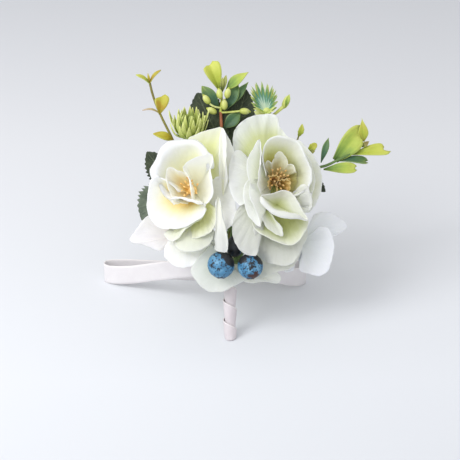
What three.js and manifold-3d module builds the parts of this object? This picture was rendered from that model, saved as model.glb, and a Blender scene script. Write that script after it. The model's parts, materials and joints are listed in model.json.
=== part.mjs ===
// Wrist corsage: two open silk roses with florets, sprigs, leaves and berries, bound on a stem that is
// wrapped in ribbon, with a ribbon loop that ties it to the wrist.
// Millimetres and degrees, +Z up. The origin is the middle of the stem's foot on the table.
// The bouquet is laid out upright, X to the right, Y to the back and Z up the stem, and then leaned back.

import * as THREE from 'three';
import { mergeVertices } from 'three/addons/utils/BufferGeometryUtils.js';
import Module from 'manifold-3d';

const wasm = await Module();
wasm.setup();

// Fits
const FIT_GAP = 0.3;
const SMOOTHING = 0.07;

// Stem and binding
const LEAN = 30;
const STEM_RADIUS = 1.6;
const STEM_LENGTH = 27.5;
const WRAP_WIDTH = 10;
const WRAP_PITCH = 9;
const WRAP_THICKNESS = 0.4;
const WRAP_LIFT = 0.95;
const WRAP_START = 128;
const WRAP_TUCK = 7.5;
const BINDING_RADIUS = 6.2;
const BINDING_LENGTH = 8.5;
const BINDING_NECK = 1.4;
const OUTER_RING = 4.8;
const INNER_RING = 2.3;
const WIRE_RADIUS = 0.7;

// Wrist ribbon and its pad
const PAD_RADIUS = 7;
const PAD_THICKNESS = 1.6;
const RIBBON_WIDTH = 10;
const RIBBON_THICKNESS = 0.5;
const BRIDGE_REACH = 9.6;
const KNOT_LENGTH = 4.4;
const KNOT_HEIGHT = 9;

// Roses and florets
const PETAL_THICKNESS = 0.6;
const HUB_RADIUS = 3.2;
const HUB_THICKNESS = 0.8;
const WHORL_STEP = 1.3;
const NECK_WIDTH = 1.4;
const CALYX_RADIUS = 4.2;
const CALYX_LENGTH = 2.2;
const BUTTON_RADIUS = 2.2;
const BUTTON_HEIGHT = 2;
const STAMEN_LENGTH = 8;
const STAMEN_RADIUS = 0.4;
const STAMEN_COUNT = 11;

// Leaves, sprigs and berries
const LEAF_THICKNESS = 0.6;
const SPRIG_THICKNESS = 0.8;
const SPRIG_RADIUS = 0.65;
const BLADE_THICKNESS = 0.6;
const LEFT_BERRY_RADIUS = 6;
const RIGHT_BERRY_RADIUS = 5.7;
const DARK_BERRY_RADIUS = 4;
const DARK_BERRY_LENGTH = 10;
const NECK_RADIUS = 0.45;

// How petals and leaves are shaped, as shares of their own length and width
const LIP_SHARE = 1 / 3;
const FOOT_SHARE = 0.3;
const TOOTH_DEPTH = 0.14;

const BINDING_BOTTOM = STEM_LENGTH + FIT_GAP;
const BINDING_TOP = BINDING_BOTTOM + BINDING_LENGTH;
const BINDING_MIDDLE = BINDING_BOTTOM + BINDING_LENGTH / 2;

const radians = THREE.MathUtils.degToRad;
const vec = (x, y, z) => new THREE.Vector3(x, y, z);
const UP = vec(0, 0, 1);
const BACK = vec(0, 1, 0);

// Solids from geometry

function signedVolume(position, index) {
  const corner = (i) => vec().fromBufferAttribute(position, i);
  let total = 0;
  for (let i = 0; i < index.length; i += 3) {
    total += corner(index[i]).dot(corner(index[i + 1]).cross(corner(index[i + 2])));
  }
  return total / 6;
}

function solid(geometry) {
  const bare = new THREE.BufferGeometry();
  bare.setAttribute('position', geometry.getAttribute('position'));
  bare.setIndex(geometry.index);
  const merged = mergeVertices(bare, 1e-4);
  const position = merged.getAttribute('position');
  const index = [];
  for (let i = 0; i < merged.index.count; i += 3) {
    const [a, b, c] = [0, 1, 2].map((k) => merged.index.getX(i + k));
    if (a !== b && b !== c && c !== a) index.push(a, b, c);
  }
  if (signedVolume(position, index) < 0) index.reverse();
  return new wasm.Manifold(new wasm.Mesh({
    numProp: 3,
    vertProperties: Float32Array.from(position.array),
    triVerts: Uint32Array.from(index),
  }));
}

const join = (solids) => solids.reduce((whole, next) => whole.add(next));

function geometryOf(body) {
  const { vertProperties, triVerts } = body.getMesh();
  const geometry = new THREE.BufferGeometry();
  geometry.setAttribute('position', new THREE.BufferAttribute(vertProperties, 3));
  geometry.setIndex(new THREE.BufferAttribute(triVerts, 1));
  geometry.computeVertexNormals();
  return geometry;
}

function normalAt(surface, u, v) {
  const step = 0.01;
  const before = (t) => Math.max(0, t - step);
  const after = (t) => Math.min(1, t + step);
  const along = surface(after(u), v).sub(surface(before(u), v));
  const across = surface(u, after(v)).sub(surface(u, before(v)));
  return along.cross(across).normalize();
}

// A closed thin sheet on surface(u, v), with u and v from 0 to 1
function sheet(surface, rows, columns, thickness) {
  const positions = [];
  for (const offset of [thickness / 2, -thickness / 2]) {
    for (let i = 0; i <= rows; i++) {
      for (let j = 0; j <= columns; j++) {
        const [u, v] = [i / rows, j / columns];
        positions.push(...surface(u, v).addScaledVector(normalAt(surface, u, v), offset));
      }
    }
  }
  const width = columns + 1;
  const layer = (rows + 1) * width;
  const index = [];
  const quad = (a, b, c, d) => index.push(a, b, c, a, c, d);
  for (let i = 0; i < rows; i++) {
    for (let j = 0; j < columns; j++) {
      const a = i * width + j;
      quad(a, a + width, a + width + 1, a + 1);
      quad(a + layer, a + layer + 1, a + layer + width + 1, a + layer + width);
    }
  }
  const rim = [];
  for (let i = 0; i < rows; i++) rim.push(i * width);
  for (let j = 0; j < columns; j++) rim.push(rows * width + j);
  for (let i = rows; i > 0; i--) rim.push(i * width + columns);
  for (let j = columns; j > 0; j--) rim.push(j);
  rim.forEach((p, k) => {
    const q = rim[(k + 1) % rim.length];
    quad(q, p, p + layer, q + layer);
  });
  const geometry = new THREE.BufferGeometry();
  geometry.setAttribute('position', new THREE.Float32BufferAttribute(positions, 3));
  geometry.setIndex(index);
  return solid(geometry);
}

function tube(points, radius, steps, sides = 5) {
  const section = new THREE.Shape();
  for (let i = 0; i < sides; i++) {
    const turn = (2 * Math.PI * i) / sides;
    const corner = [radius * Math.cos(turn), radius * Math.sin(turn)];
    if (i === 0) section.moveTo(...corner);
    else section.lineTo(...corner);
  }
  section.closePath();
  const extrudePath = new THREE.CatmullRomCurve3(points.map((p) => vec(...p)));
  return solid(new THREE.ExtrudeGeometry(section, { steps, bevelEnabled: false, extrudePath }));
}

// A turned body about `axis` through `origin`, from pairs of radius and height
function turned(profile, origin, axis, sides) {
  const geometry = new THREE.LatheGeometry(profile.map(([r, h]) => new THREE.Vector2(r, h)), sides);
  geometry.applyQuaternion(new THREE.Quaternion().setFromUnitVectors(vec(0, 1, 0), axis));
  geometry.translate(...origin);
  return solid(geometry);
}

const ring = (inner, outer, low, high) =>
  [[inner, low], [outer, low], [outer, high], [inner, high], [inner, low]];

const disc = (radius, low, high) => [[0, low], [radius, low], [radius, high], [0, high]];

function egg(centre, axis, radius, halfLength, sides, rows) {
  const profile = [];
  for (let i = 0; i <= rows; i++) {
    const turn = (Math.PI * i) / rows;
    const atPole = i === 0 || i === rows;
    profile.push([atPole ? 0 : radius * Math.sin(turn), -halfLength * Math.cos(turn)]);
  }
  return turned(profile, centre, axis, sides);
}

// Placing pieces: each later piece is cut clear of the ones before it

const corsage = new THREE.Group();
const bouquet = new THREE.Group();
bouquet.rotation.x = -radians(LEAN);
corsage.add(bouquet);

const taken = [];

const boxesMeet = (a, b) => [0, 1, 2].every((k) => a.min[k] < b.max[k] && b.min[k] < a.max[k]);

function clearOfOthers(body) {
  const box = body.boundingBox();
  return taken.filter((other) => boxesMeet(box, other.box))
    .reduce((rest, other) => rest.subtract(other.room), body);
}

function largest(body) {
  return body.decompose().reduce((best, next) => (next.volume() > best.volume() ? next : best));
}

function show(group, name, finish, body) {
  const mesh = new THREE.Mesh(geometryOf(body), new THREE.MeshStandardMaterial(finish));
  mesh.name = name;
  group.add(mesh);
}

// `make` takes how much to grow the piece, so that the same function gives the room it needs
function place(name, finish, make, roomOf = (grown) => grown) {
  show(bouquet, name, finish, largest(clearOfOthers(make(0)).asOriginal().simplify(SMOOTHING)));
  const room = roomOf(make(FIT_GAP));
  taken.push({ room, box: room.boundingBox() });
}

// Finishes

const finish = (color, roughness) => ({ color, roughness, metalness: 0 });
const IVORY = finish('#f1efdc', 0.75);
const FLORET_WHITE = finish('#eef0f0', 0.75);
const FLORET_PINK = finish('#f3e6e4', 0.75);
const DARK_LEAF = finish('#3d4f3a', 0.8);
const SPRIG_GREEN = finish('#a9bf4a', 0.5);
const SPIKY_GREEN = finish('#8fb04a', 0.5);
const WIRE_GREEN = finish('#5f7a43', 0.6);
const BERRY_BLUE = finish('#3f83b5', 0.6);
const BERRY_DARK = finish('#20242c', 0.6);
const STAMEN_GOLD = finish('#d9a441', 0.7);
const STAMEN_BROWN = finish('#9a6a3a', 0.7);
const SATIN_PINK = finish('#f0dcd8', 0.4);
const FELT_WHITE = finish('#ece8e2', 0.9);
const TAPE_GREEN = finish('#6d8450', 0.8);

// Stem, ribbon wrap, binding and pad

// Everything under the table, as seen from the upright bouquet
function underTable(gap) {
  const depth = 20;
  const geometry = new THREE.BoxGeometry(4 * depth, 4 * depth, depth);
  geometry.translate(0, 0, gap - depth / 2);
  geometry.rotateX(radians(LEAN));
  return solid(geometry);
}

// The foot is cut so that it lies flat on the table when the stem leans back
function stemCore(grow) {
  const below = STEM_RADIUS;
  const low = -below * Math.tan(radians(LEAN)) - 1;
  const core = turned(disc(STEM_RADIUS + grow, low, STEM_LENGTH), [0, 0, 0], UP, 24);
  return core.subtract(underTable(0));
}

const WRAP_RADIUS = STEM_RADIUS + FIT_GAP + WRAP_THICKNESS / 2;
const WRAP_LOW = -(WRAP_RADIUS + WRAP_LIFT) * Math.tan(radians(LEAN)) - WRAP_TUCK;
const WRAP_TURNS = (STEM_LENGTH - WRAP_LOW - WRAP_WIDTH) / WRAP_PITCH;
const STEPS_PER_TURN = 24;

// The strip climbs one pitch a turn, from below the foot, and its upper edge laps over the turn above
function wrapPoint(turns, across) {
  const radius = WRAP_RADIUS + WRAP_LIFT * across;
  const turn = radians(WRAP_START) - 2 * Math.PI * turns;
  const height = WRAP_LOW + WRAP_PITCH * turns + WRAP_WIDTH * across;
  return vec(radius * Math.cos(turn), radius * Math.sin(turn), height);
}

function stemWrap(grow) {
  const surface = (u, v) => wrapPoint(WRAP_TURNS * u, v);
  const strip = sheet(surface, Math.ceil(STEPS_PER_TURN * WRAP_TURNS), 1, WRAP_THICKNESS + 2 * grow);
  return strip.subtract(underTable(FIT_GAP));
}

// Least gap between the strip's turns, over points at least half a turn apart
function wrapGap() {
  const points = [];
  const columns = 20;
  for (let i = 0; i <= WRAP_TURNS * STEPS_PER_TURN; i++) {
    const turns = i / STEPS_PER_TURN;
    for (let j = 0; j <= columns; j++) points.push({ turns, at: wrapPoint(turns, j / columns) });
  }
  let least = Infinity;
  for (const a of points) {
    for (const b of points) {
      if (b.turns - a.turns > 0.5) least = Math.min(least, a.at.distanceTo(b.at));
    }
  }
  return least - WRAP_THICKNESS;
}

function binding(grow) {
  const profile = [
    [0, -grow],
    [STEM_RADIUS + BINDING_NECK + grow, -grow],
    [BINDING_RADIUS + grow, BINDING_LENGTH / 2],
    [OUTER_RING + WIRE_RADIUS + grow, BINDING_LENGTH + grow],
    [0, BINDING_LENGTH + grow],
  ];
  return turned(profile, [0, 0, BINDING_BOTTOM], UP, 18);
}

// Where a wire stands on top of the binding
function standing(ringRadius, angle) {
  const turn = radians(angle);
  return [ringRadius * Math.cos(turn), ringRadius * Math.sin(turn), BINDING_TOP + FIT_GAP];
}

const PAD_FRONT = BINDING_RADIUS + FIT_GAP;

function pad(grow) {
  const profile = disc(PAD_RADIUS + grow, -grow, PAD_THICKNESS + grow);
  return turned(profile, [0, PAD_FRONT, BINDING_MIDDLE], BACK, 20);
}

// Flowers: a frame with the axis out of the throat, and petals placed around it

function flowerFrame(base, facing) {
  const axis = vec(...facing).normalize();
  const up = UP.clone().addScaledVector(axis, -axis.z).normalize();
  const side = up.clone().cross(axis);
  return { base: vec(...base), axis, up, side };
}

const onAxis = ({ base, axis }, height) => base.clone().addScaledVector(axis, height);

// The direction square to the axis, clockwise from the top as seen from the front
function outwards({ up, side }, angle) {
  return up.clone().multiplyScalar(Math.cos(angle)).addScaledVector(side, Math.sin(angle));
}

// Between the axis and an outward direction
function leaning({ axis }, out, angle) {
  return axis.clone().multiplyScalar(Math.cos(angle)).addScaledVector(out, Math.sin(angle));
}

// The photograph looks squarely at the upright bouquet. A pixel across and down it, with a depth in
// millimetres behind the stem, is one point of the bouquet.
const VIEW_DISTANCE = 700;
const VIEW_HEIGHT = 49.1;
const FOCAL_PIXELS = 1540;
const MIDDLE_PIXEL = 230;

function seen([across, down, depth]) {
  const scale = (VIEW_DISTANCE + depth) / FOCAL_PIXELS;
  return vec((across - MIDDLE_PIXEL) * scale, depth, VIEW_HEIGHT + (MIDDLE_PIXEL - down) * scale);
}

// The part of `way` that is square to the axis
const square = ({ axis }, way) => way.clone().addScaledVector(axis, -way.dot(axis));

// Lengths that belong to the rim's points, read between them
function along(lengths, t) {
  const place = t * (lengths.length - 1);
  const before = Math.min(Math.floor(place), lengths.length - 2);
  return THREE.MathUtils.lerp(lengths[before], lengths[before + 1], place - before);
}

// A petal is a fan of ribs from the hub, or from its own root, to a rim read off the photograph. With a
// `cup` near 1 the ribs open like a bowl, and near 0 they bend back like a trumpet. Where there is a lip,
// the silk rolls over beyond the rim.
function petalSurface(flower, level, { rim, cup = 0.5, lip = 0, roll = 90, root }, grow) {
  const curve = new THREE.CatmullRomCurve3(rim.map(seen));
  const lips = rim.map((point) => point[3] ?? lip);
  const centre = root ? seen(root) : onAxis(flower, level);
  const foot = root ? FOOT_SHARE : HUB_RADIUS / 2;
  const ribs = lip ? 1 - LIP_SHARE : 1;
  return (u, v) => {
    const tangent = curve.getTangentAt(v);
    const goal = curve.getPointAt(v).addScaledVector(tangent, grow * (2 * v - 1));
    const outward = square(flower, goal.clone().sub(centre));
    const start = outward.clone().setLength(Math.min(foot, FOOT_SHARE * outward.length())).add(centre);
    const span = goal.clone().sub(start);
    const rise = span.dot(flower.axis);
    const bend = start.clone()
      .addScaledVector(square(flower, span), 0.15 + 0.75 * cup)
      .addScaledVector(flower.axis, rise * (0.9 - 0.8 * cup));
    const way = goal.clone().sub(bend).normalize();
    goal.addScaledVector(way, grow);
    const t = Math.min(1, u / ribs);
    const spot = start.clone().lerp(bend, t).lerp(bend.clone().lerp(goal, t), t);
    if (u > ribs) {
      const face = tangent.cross(way).normalize();
      const front = flower.axis.clone().sub(outward.normalize());
      const length = along(lips, curve.getUtoTmapping(v)) / radians(roll);
      const turn = (radians(roll) * (u - ribs)) / LIP_SHARE;
      spot.addScaledVector(way, length * Math.sin(turn))
        .addScaledVector(face, -Math.sign(face.dot(front)) * length * (1 - Math.cos(turn)));
    }
    return spot;
  };
}

const BORE = WIRE_RADIUS + FIT_GAP;

function hub({ base, axis }, level, grow) {
  const half = HUB_THICKNESS / 2 + grow;
  return turned(ring(BORE - grow, HUB_RADIUS + grow, level - half, level + half), base, axis, 12);
}

// A petal with its own root hangs on a narrow neck of silk, out from the hub and then forward
function petalNeck(flower, level, root, grow) {
  const end = seen(root);
  const start = onAxis(flower, level);
  const corner = end.clone().addScaledVector(flower.axis, start.clone().sub(end).dot(flower.axis));
  return tube([start, corner, end].map((p) => [...p]), NECK_WIDTH / 2 + grow, 6);
}

function whorl(flower, level, petals, grow) {
  const parts = [hub(flower, level, grow)];
  for (const petal of petals) {
    const rows = petal.lip ? 6 : 4;
    parts.push(sheet(petalSurface(flower, level, petal, grow), rows, 10, PETAL_THICKNESS + 2 * grow));
    if (petal.root) parts.push(petalNeck(flower, level, petal.root, grow));
  }
  return join(parts);
}

// Stamens stand on a button that closes the front of the hubs
function stamens(flower, level, spread, grow) {
  const profile = [
    [0, level - grow],
    [BUTTON_RADIUS + grow, level - grow],
    [0.7 * BUTTON_RADIUS + grow, level + 0.8 * BUTTON_HEIGHT],
    [0, level + BUTTON_HEIGHT + grow],
  ];
  const threads = [];
  for (let i = 0; i < STAMEN_COUNT; i++) {
    const share = Math.sqrt((i + 0.5) / STAMEN_COUNT);
    const out = outwards(flower, i * radians(137.5));
    const root = onAxis(flower, level + 0.3 * BUTTON_HEIGHT);
    root.addScaledVector(out, 0.6 * BUTTON_RADIUS * share);
    const way = leaning(flower, out, radians(spread) * share);
    const tip = root.clone().addScaledVector(way, STAMEN_LENGTH + grow);
    threads.push(tube([root, tip], STAMEN_RADIUS + grow, 1, 3));
  }
  return join([turned(profile, flower.base, flower.axis, 10), ...threads]);
}

const CALYX_FRONT = -HUB_THICKNESS / 2 - FIT_GAP;
const CALYX_BACK = CALYX_FRONT - CALYX_LENGTH;

function calyx({ base, axis }, grow) {
  const profile = ring(BORE - grow, CALYX_RADIUS + grow, CALYX_BACK - grow, CALYX_FRONT + grow);
  return turned(profile, base, axis, 12);
}

// Roses: whorls of petals from the throat outwards

const LEFT_ROSE = {
  flower: flowerFrame([-15.6, 0.65, VIEW_HEIGHT + 16.9], [-0.26, -0.95, 0.2]),
  spread: 32,
  stamens: STAMEN_GOLD,
  wire: [standing(OUTER_RING, 180), [-8, 3, 46], [-12, 9, 57]],
  whorls: [
    [
      { cup: 0.85, rim: [
        [192, 200, -10], [190.6, 192, -13], [190.6, 185, -14.6], [187.6, 176, -15.4],
        [184.6, 169, -15.6], [184.2, 164.4, -15.8], [189, 160.6, -16.8], [195.5, 157.6, -17.6],
        [203.5, 155.4, -18.2], [208.2, 153.9, -18.6], [210.6, 155.6, -18.4], [210.4, 162, -17.8],
        [209.4, 172, -17.2], [212.2, 180, -16.8], [213, 190, -15.8], [211.6, 198, -14], [206, 204, -12],
      ] },
      { cup: 0.8, rim: [
        [188, 203, -8.5], [178, 201, -10.5], [171.5, 195, -11.6], [168.4, 185, -12.2],
        [167, 176, -12.8], [167.6, 169.4, -13.2], [170.6, 168.2, -13.6], [176.6, 171, -13.6],
        [181, 171.6, -13.4], [186, 174, -12.8], [190, 180, -11],
      ] },
      { cup: 0.85, lip: 1.4, roll: 150, rim: [
        [176, 204, -12], [172, 199.6, -14], [174.6, 197.8, -15], [180, 197.8, -16], [189, 199.3, -16.4],
        [197, 201.4, -16], [202.4, 203.4, -15], [204.6, 206.6, -13],
      ] },
    ],
    [
      { cup: 0.75, lip: 4.4, roll: 115, rim: [
        [176, 198, -6], [168, 192, -7], [162.4, 184, -8.6], [159, 175, -10.6], [159.6, 167, -11.6],
        [163.6, 159, -12], [170.6, 152.2, -11.6], [180, 147.6, -11.2], [190, 146.2, -11.2],
        [198, 148.8, -11.6], [203, 154.8, -12], [206, 163, -11], [207, 172, -9],
      ] },
      { cup: 0.4, rim: [
        [180, 192, -10], [172, 184.6, -11], [164, 178.6, -11.8], [157, 177.4, -11.6],
        [152.4, 182, -10.6], [149.4, 191, -9.4], [148.2, 204, -8.8], [150.2, 214.6, -9],
        [156, 223.2, -10], [163, 227.6, -11.4], [175, 227, -13.2], [186.6, 224.4, -14.8],
        [196, 219, -15.6], [202.6, 213.6, -15.4], [206, 208, -13],
      ] },
      { cup: 0.2, rim: [
        [174, 230, -9], [165, 232.4, -8.5], [167, 237.6, -9.8], [172.5, 241.4, -12],
        [179.6, 237, -13.5], [185.6, 229, -14], [194, 223, -13.6], [203, 216, -12.5],
      ] },
      { rim: [
        [184, 230, -10], [188, 236.6, -11.5], [194, 237.4, -12.6], [202, 236, -13.2],
        [210.5, 231.6, -13], [215.4, 222, -12], [216, 208, -10],
      ] },
      { root: [218.2, 196, -12], rim: [
        [216.4, 200, -13.6], [215.8, 210, -14.4], [215.6, 226, -16.2], [214.8, 240, -18],
        [214.8, 249.2, -19], [219, 251.4, -19.2], [224, 251.8, -19.2], [227, 251, -19],
        [228, 244, -18.2], [226.6, 232, -16.8], [224.2, 222, -15.6], [221.4, 210, -14.4],
        [220.2, 200, -13.6],
      ] },
    ],
    [
      { cup: 0.45, rim: [
        [200, 168, -4], [190, 152, -3], [188, 140, -3.4], [193, 136.6, -4], [203, 132, -5],
        [214, 129.4, -6], [221.6, 128.4, -7], [222, 140, -7.6], [221, 160, -7], [221, 176, -6],
      ] },
      { root: [223, 196, -7], rim: [
        [219.8, 180, -8], [219.2, 168, -8.6], [219.4, 152, -8.8], [220.2, 140, -8.6], [222, 128.8, -8],
        [224.8, 133, -9.4], [226, 142, -11], [226.2, 154, -11.6], [226.4, 166, -11.4], [228, 180, -10],
      ] },
      { root: [226, 192, -4], rim: [
        [223, 178, -6], [223.6, 150, -6.6], [224, 133, -7], [227, 135.6, -7.2], [230.6, 142.4, -7],
        [234, 152, -6.8], [234.6, 162, -6.4], [233, 176, -6],
      ] },
      { cup: 0.3, rim: [
        [180, 232, -8], [176, 240, -10.5], [176.6, 246.4, -12], [183, 249.6, -13.4], [190, 250.8, -14],
        [198, 250, -14], [206, 246, -13.5], [211.6, 240, -12.4], [214, 231, -10],
      ] },
    ],
    [
      { cup: 0.35, rim: [
        [172, 240, -5], [165.4, 246, -6.4], [165.8, 255, -8], [172.6, 263.4, -9], [182, 266.6, -9.5],
        [192, 264.4, -9.5], [200, 258, -9], [207, 248.5, -8], [210, 238, -6],
      ] },
      { cup: 0.45, rim: [
        [215, 178, -8.4], [222, 178, -7.6], [229, 185, -7], [233, 197, -7.6], [235.6, 210, -9.4],
        [234, 222, -11.4], [228, 232, -12.8], [220, 235, -13], [211, 230, -11],
      ] },
      { cup: 0.4, rim: [
        [168, 172, 1], [160, 166, 1], [155, 173, 0.6], [152.6, 185, 0], [152.6, 197, -0.6], [156, 207, -1],
        [168, 210, -1],
      ] },
    ],
  ],
};

const RIGHT_ROSE = {
  flower: flowerFrame([19.2, 0.65, VIEW_HEIGHT + 21.5], [0.29, -0.95, 0.15]),
  spread: 30,
  stamens: STAMEN_BROWN,
  wire: [standing(OUTER_RING, 0), [8, 3, 47], [14, 9, 60]],
  whorls: [
    [
      { cup: 0.8, rim: [
        [256, 193, -11], [250.6, 183, -13], [248, 174, -14], [247.6, 164, -14.8], [250, 154, -15.6],
        [254, 146, -16.2], [258.2, 139.2, -16.8], [259.8, 146, -17], [260.6, 156, -17.4],
        [260.4, 166, -17.6], [259, 176, -17.6], [258.4, 186, -17.2], [261.4, 193.4, -15],
      ] },
      { cup: 0.8, lip: 0.5, roll: 140, root: [277, 205, -8.5], rim: [
        [261.6, 196, -14.5], [269, 195, -12.5], [277, 192.8, -12.8], [285.5, 191.6, -13.2],
        [292.5, 194.4, -13.8], [297.5, 201, -14.4], [302, 211, -15], [308, 219.6, -15.8],
        [298, 214.6, -17.8, 2.6], [288, 212.4, -18.6, 3], [279, 210.4, -18.6, 3],
        [271.5, 206.6, -18.2, 2.8], [263.8, 198.4, -17, 2.4], [261.4, 196, -14.6],
      ] },
      { cup: 0.6, rim: [
        [268, 172, -8], [266.6, 165, -10], [267.6, 160, -11], [271, 158.4, -11.5], [274.6, 161, -11],
        [276, 167, -9],
      ] },
      { cup: 0.6, rim: [
        [277, 170, -8], [278, 161, -9.4], [282, 154.6, -10.5], [286, 156, -10.3], [291, 163, -9.4],
        [294, 171, -8],
      ] },
      { cup: 0.8, rim: [
        [270, 190, -9], [268, 184, -11], [270, 177, -12.4], [274.6, 174.6, -12.8], [279, 178, -12],
        [280, 185, -10],
      ] },
      { cup: 0.8, rim: [
        [279, 193, -9], [277, 186, -11], [280, 179.6, -12], [285, 179, -12], [289, 184, -11],
        [288, 192, -9],
      ] },
    ],
    [
      { cup: 0.9, lip: 1.2, roll: 90, rim: [
        [266.5, 176, -11], [264.6, 166, -13.6], [264, 156, -15], [264.6, 148, -15.6],
        [267.6, 142.6, -16], [273, 139, -16], [282, 138.4, -15.5], [292, 140.4, -14.6],
        [298.4, 145, -14], [303.4, 154, -13], [307.6, 163.6, -12], [309.6, 172, -11.2],
        [309, 181, -10.6], [305, 189, -10], [298, 194, -9], [290, 195, -8],
      ] },
      { cup: 0.4, root: [286, 203, -5], rim: [
        [292, 196, -8], [297, 189, -9.4], [301.6, 184.8, -10.4], [306.4, 186, -10.8], [310, 193, -10.4],
        [311.4, 201, -9.8], [309.6, 209, -9.4], [303, 213, -9],
      ] },
      { cup: 0.6, rim: [
        [296, 168, -6], [301, 152, -8.4], [308.6, 160, -8.3], [313.4, 172, -8], [314.4, 183, -8],
        [311.6, 195, -8.4], [307, 206, -9], [296, 206, -7],
      ] },
      { cup: 0.8, rim: [
        [257, 215, -11], [252.8, 222, -12], [256, 229, -14], [265, 235.6, -15.8], [276, 240.6, -16.4],
        [287, 245.2, -16], [296, 242, -14.6], [303, 233.4, -12.6], [308.4, 222.6, -10.4],
        [304, 213, -8],
      ] },
      { rim: [
        [250, 178, -11], [245.4, 186, -11.6], [244, 197, -12.8], [246.6, 210, -14], [252.6, 220.6, -15],
        [260.8, 226.2, -15.6], [259.8, 219, -15.8], [256.4, 211, -15.6], [252.4, 202, -15.2],
        [249.6, 192, -14.4], [250.6, 183, -12.5],
      ] },
      { root: [270, 211, -10], rim: [
        [263, 213.6, -13.6], [262.4, 220, -14.6], [266, 228, -15.2], [272, 233, -15.4],
        [279, 235.6, -15], [282.6, 231, -14.4], [281, 222, -13.6],
      ] },
    ],
    [
      { rim: [
        [246, 166, -4], [238, 158, -4], [234.2, 150, -4.4], [233.2, 140, -4.4], [234.8, 131.6, -4.4],
        [240, 125.2, -4.6], [248, 118.8, -4.8], [257, 115.8, -5], [262.6, 115.4, -5.2], [265, 124, -5],
        [266, 134, -4.8],
      ] },
      { rim: [
        [262, 134, -3], [258, 122, -3], [261, 116, -3], [266, 114.6, -3.2], [273, 114.6, -3.2],
        [278.4, 118.6, -3.4], [280, 127, -3.8], [285, 134, -4.2], [289, 140, -4.6], [288, 152, -4],
      ] },
      { cup: 0.45, rim: [
        [246, 156, -5], [240, 150.6, -5.6], [234, 153, -6.5], [230, 166, -8], [229.6, 182, -9],
        [233, 196.6, -10], [238.6, 203.4, -11], [244, 204, -11], [249, 196, -9.4],
      ] },
      { cup: 0.3, rim: [
        [252, 226, -9.5], [251, 234, -10.4], [255.6, 247, -11.8], [261, 257, -12.4],
        [269, 262.2, -12.8], [283, 265, -12.4], [292, 262.8, -11.6], [297.6, 255.6, -10.6],
        [303, 245, -9.4], [307.6, 234, -8], [306, 222, -6],
      ] },
    ],
    [
      { rim: [
        [292, 146, -1.6], [298, 140.4, -2], [306, 147.6, -2.5], [314.4, 157.6, -2.3],
        [319.8, 169.4, -2], [321.4, 181, -2], [319.6, 193.6, -3], [314, 206, -5], [308, 212, -6],
        [300, 208, -5],
      ] },
      { cup: 0.3, rim: [
        [246, 204, -8], [240, 206, -8.6], [235, 215.6, -11], [232.6, 228, -13.6], [234, 239.6, -15.8],
        [239.6, 248.6, -17.4], [246.2, 253, -18.4], [253, 254.6, -18.6], [257.6, 253, -18],
        [257.6, 244, -16], [253, 230, -13],
      ] },
      { cup: 0.3, rim: [
        [250, 258, -7], [244.6, 266, -8], [243, 274, -9], [248, 279.6, -9.2], [256, 279.4, -9.2],
        [264, 276.8, -9], [277, 271.4, -9], [289.4, 268.4, -8.2], [297, 260, -7.2], [302, 248, -6],
      ] },
    ],
  ],
};

const whorlLevel = (rose, number) => WHORL_STEP * (rose.whorls.length - 1 - number);
const buttonLevel = (rose) => whorlLevel(rose, 0) + HUB_THICKNESS / 2 + 2 * FIT_GAP;

function roseWire({ flower, wire, ...rose }, grow) {
  const bend = onAxis(flower, CALYX_BACK - 4 * WIRE_RADIUS);
  const tip = onAxis(flower, buttonLevel(rose) - FIT_GAP);
  const points = [...wire, bend, flower.base, tip].map((p) => [...p]);
  return tube(points, WIRE_RADIUS + grow, 14);
}

function placePetals(side, rose) {
  rose.whorls.forEach((petals, number) => {
    const level = whorlLevel(rose, number);
    place(`${side}_rose_whorl_${number + 1}`, IVORY, (grow) => whorl(rose.flower, level, petals, grow));
  });
  place(`${side}_rose_stamens`, rose.stamens,
    (grow) => stamens(rose.flower, buttonLevel(rose), rose.spread, grow));
  place(`${side}_rose_calyx`, WIRE_GREEN, (grow) => calyx(rose.flower, grow));
}

// Florets: one layer of lobes, on a wire or glued to the front of the binding

const GLUED_FLORET = -(BINDING_RADIUS + 2 * FIT_GAP + HUB_THICKNESS / 2);

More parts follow.
